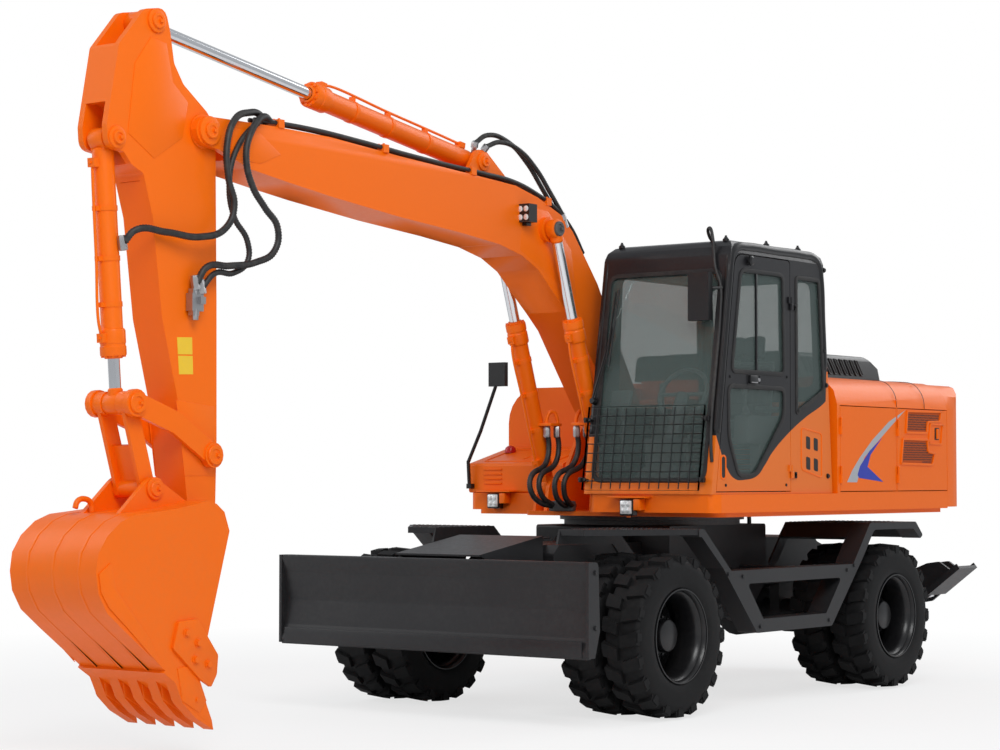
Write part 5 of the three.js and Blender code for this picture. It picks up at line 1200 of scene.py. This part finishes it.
# ---- Deck lamps, tank lid and boom hoses
# Square work lamps in bracket plates under the deck's front edge, a lidded tool box, and four pressure
# hoses that hang in an S from each boom cylinder's pipes to the deck.
lamp_frames = bmesh.new()
lamp_glass = bmesh.new()
lamp_brackets = bmesh.new()
for x, y, z in ((0.593, 0.36, 1.322), (-0.966, 0.955, 1.352)):
    at = place_at(x, y, z)
    eased_block(lamp_frames, at, (0.108, 0.06, 0.108), 0.01)
    eased_block(lamp_glass, at + Vector((0, -0.03, 0.002)), (0.088, 0.01, 0.088), 0.004)
    for dx in (-0.02, 0.02):
        for dz in (-0.02, 0.02):
            turn_profile(lamp_glass, [(0, 0.008), (0.01, 0.006), (0.017, 0.001), (0.017, -0.002),
                                      (0, -0.002)], at + Vector((dx, -0.034, dz + 0.002)), (0, -1, 0),
                         steps=16)
    eased_block(lamp_brackets, at + Vector((0.085, 0.0, 0.02)), (0.05, 0.07, 0.075), 0.004)
    eased_block(lamp_brackets, at + Vector((0.01, 0.0, 0.068)), (0.3, 0.09, 0.01), 0.003)
    hex_bolt(lamp_brackets, at + Vector((0, 0, -0.052)), (0, 0, -1), 0.014, 0.012)
new_piece("deck_lamp_housings", lamp_frames, cab_paint, "upper")
new_piece("deck_lamp_lenses", lamp_glass, lamp_lens, "upper")
new_piece("deck_lamp_brackets", lamp_brackets, orange_paint, "upper")

box_trim = bmesh.new()
for index in range(4):
    eased_block(box_trim, place_at(-1.02, 0.996, 1.476 + index * 0.034), (0.16, 0.012, 0.011), 0.003,
                Matrix.Rotation(0.5, 4, "X"))
lid_slope = math.atan2(0.12, 0.46)


def on_tool_box(a, b, out):
    """A place on the leaning top of the tool box: a across, b rearward."""
    return Vector((a, b + front_axle_y - out * math.sin(lid_slope), 1.627 + (b - 1.03) * 0.2478 + out))


set_on(box_trim, ((-1.16, 1.06), (-0.5, 1.06), (-0.5, 1.42), (-1.16, 1.42)), on_tool_box, -0.002, 0.006,
       ring=0.014, round_by=0.03, ease=0.003)
set_on(box_trim, ((-0.84, 1.1), (-0.68, 1.1), (-0.68, 1.2), (-0.84, 1.2)), on_tool_box, -0.002, 0.005,
       ring=0.008, round_by=0.01, ease=0.002)
turn_profile(box_trim, [(0, 0.05), (0.05, 0.05), (0.058, 0.042), (0.06, -0.006), (0, -0.006)],
             place_at(-0.8, 1.8, 2.18), (0, 0, 1), steps=32)
new_piece("tool_box_trim", box_trim, orange_paint, "upper")
red_lens = worn("red_lens", (0.5, 0.01, 0.015), 0.15, dust_share=0.03)
marker = bmesh.new()
turn_profile(marker, [(0, 0.05), (0.02, 0.047), (0.036, 0.034), (0.042, 0.014), (0.042, -0.004),
                      (0, -0.004)], place_at(-1.12, 1.34, 1.704), (0, 0, 1), steps=28)
for sx in (1, -1):
    eased_block(marker, place_at(sx * 0.95, 4.163, 1.56), (0.16, 0.012, 0.09), 0.005)
new_piece("marker_lamps", marker, red_lens, "upper")

hose_drop = ((0.0, 1.83), (0.022, 1.738), (-0.022, 1.622), (-0.176, 1.511), (-0.176, 1.42), (-0.1, 1.35),
             (0.0, 1.326))
drop_across = (0.0, 0.0, 0.05, 0.14, 0.2, 0.32, 0.5)
fittings = bmesh.new()
for label, x0, y0 in (("right_outer", -0.255, 0.612), ("right_inner", -0.215, 0.672),
                      ("left_inner", -0.005, 0.612), ("left_outer", 0.035, 0.672)):
    run = []
    for (dy, z), share in zip(hose_drop, drop_across):
        x = x0 + (arm_plane - x0) * share
        run.append((x, y0 + dy + front_axle_y - (0.045 if z < 1.6 else 0.0), z))
    hose = pipe(f"boom_hose_{label}", run, 0.02, hose_rubber, None, ribs=0.014)
    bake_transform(hose)
    turn_profile(fittings, [(0, 0.035), (0.018, 0.035), (0.024, 0.02), (0.024, -0.035), (0.019, -0.045),
                            (0, -0.045)], place_at(x0, y0, 1.84), (0, 0, 1), steps=6)
new_piece("boom_hose_fittings", fittings, bare_steel, "boom_barrels")
for label, x0, x1, y0, y1 in (("right", -0.255, -0.215, 0.612, 0.672),
                              ("left", 0.035, -0.005, 0.672, 0.612)):
    pipe(f"boom_base_pipe_{label}",
         [place_at(x0, y0, 1.86), place_at(x0, y0, 1.93),
          place_at((x0 + x1) / 2, (y0 + y1) / 2, 1.975), place_at(x1, y1, 1.93),
          place_at(x1, y1, 1.86)], 0.0135, orange_paint, "boom_barrels", sides=6)
clip = bmesh.new()
for sx in (1, -1):
    x = arm_plane + sx * 0.17
    eased_block(clip, place_at(x - sx * 0.03, 0.64, 1.885), (0.11, 0.13, 0.022), 0.005)
new_piece("boom_pipe_clips", clip, orange_paint, "boom_barrels")
gland = bmesh.new()
eased_block(gland, place_at(arm_plane, 0.59, 1.325), (0.2, 0.05, 0.07), 0.01)
for dx in (-0.07, 0.07):
    hex_bolt(gland, place_at(arm_plane + dx, 0.565, 1.325), (0, -1, 0), 0.01, 0.01)
new_piece("deck_hose_clamp", gland, cast_grey, "upper")

# ---- Fenders, blade and chassis trim
# Pressed tread plate on the fender tops, a bolted cutting edge and bolts in the welded end plates of the
# blade, bolts on the step frames and a towing hook on each side.
tread = bmesh.new()
front_deck = [(0.5, -0.3), (0.72, -0.33), (1.2, 0.285), (1.2, 0.325), (0.5, 0.325)]
rear_deck = [(0.5, 2.56), (1.06, 2.56), (1.06, 3.23), (0.5, 3.23)]
for sx in (1, -1):
    for outline, level in ((front_deck, 1.19), (rear_deck, 1.195)):
        for row in range(24):
            for column in range(20):
                a = 0.5 + column * 0.038 + (0.019 if row % 2 else 0)
                b = outline[0][1] + row * 0.029
                b += -0.02 if outline is front_deck else 0.0
                if all(within(outline, a + da, b + db) for da in (-0.018, 0.018) for db in (-0.018, 0.018)):
                    lozenge = bmesh.ops.create_cone(tread, cap_ends=True, segments=4, radius1=0.0135,
                                                    radius2=0.009, depth=0.003)["verts"]
                    bmesh.ops.scale(tread, verts=lozenge, vec=(1.0, 0.42, 1.0))
                    turn = Matrix.Rotation(0.78 if (row + column) % 2 else -0.78, 4, "Z")
                    bmesh.ops.transform(tread, matrix=Matrix.Translation(
                        place_at(sx * a, b, level + 0.0012)) @ turn, verts=lozenge)
new_piece("fender_tread", tread, dark_paint, "chassis")

blade_trim = bmesh.new()
eased_block(blade_trim, place_at(0, -1.0195, 0.49), (2.39, 0.016, 0.1), 0.004)
for sx in (1, -1):
    for z in (0.95, 0.62):
        hex_bolt(blade_trim, place_at(sx * 1.245, -0.955, z), (sx, 0, 0), 0.014, 0.009)
new_piece("blade_cutting_edge", blade_trim, dark_paint, "blade")
chassis_trim = bmesh.new()
for sx in (1, -1):
    for y, z in ((0.62, 0.89), (0.8, 0.87), (2.2, 0.87), (2.3, 0.9), (1.02, 0.53), (1.94, 0.53)):
        hex_bolt(chassis_trim, place_at(sx * 1.2, y, z), (sx, 0, 0), 0.012, 0.008)
new_piece("step_frame_bolts", chassis_trim, dark_paint, "chassis")
for sx in (1, -1):
    pipe(f"towing_hook_{'left' if sx > 0 else 'right'}",
         [place_at(sx * 0.52, 2.0, 1.17), place_at(sx * 0.52, 2.0, 1.23),
          place_at(sx * 0.52, 1.99, 1.265), place_at(sx * 0.52, 1.955, 1.272),
          place_at(sx * 0.52, 1.93, 1.25)], 0.015, dark_paint, "chassis")
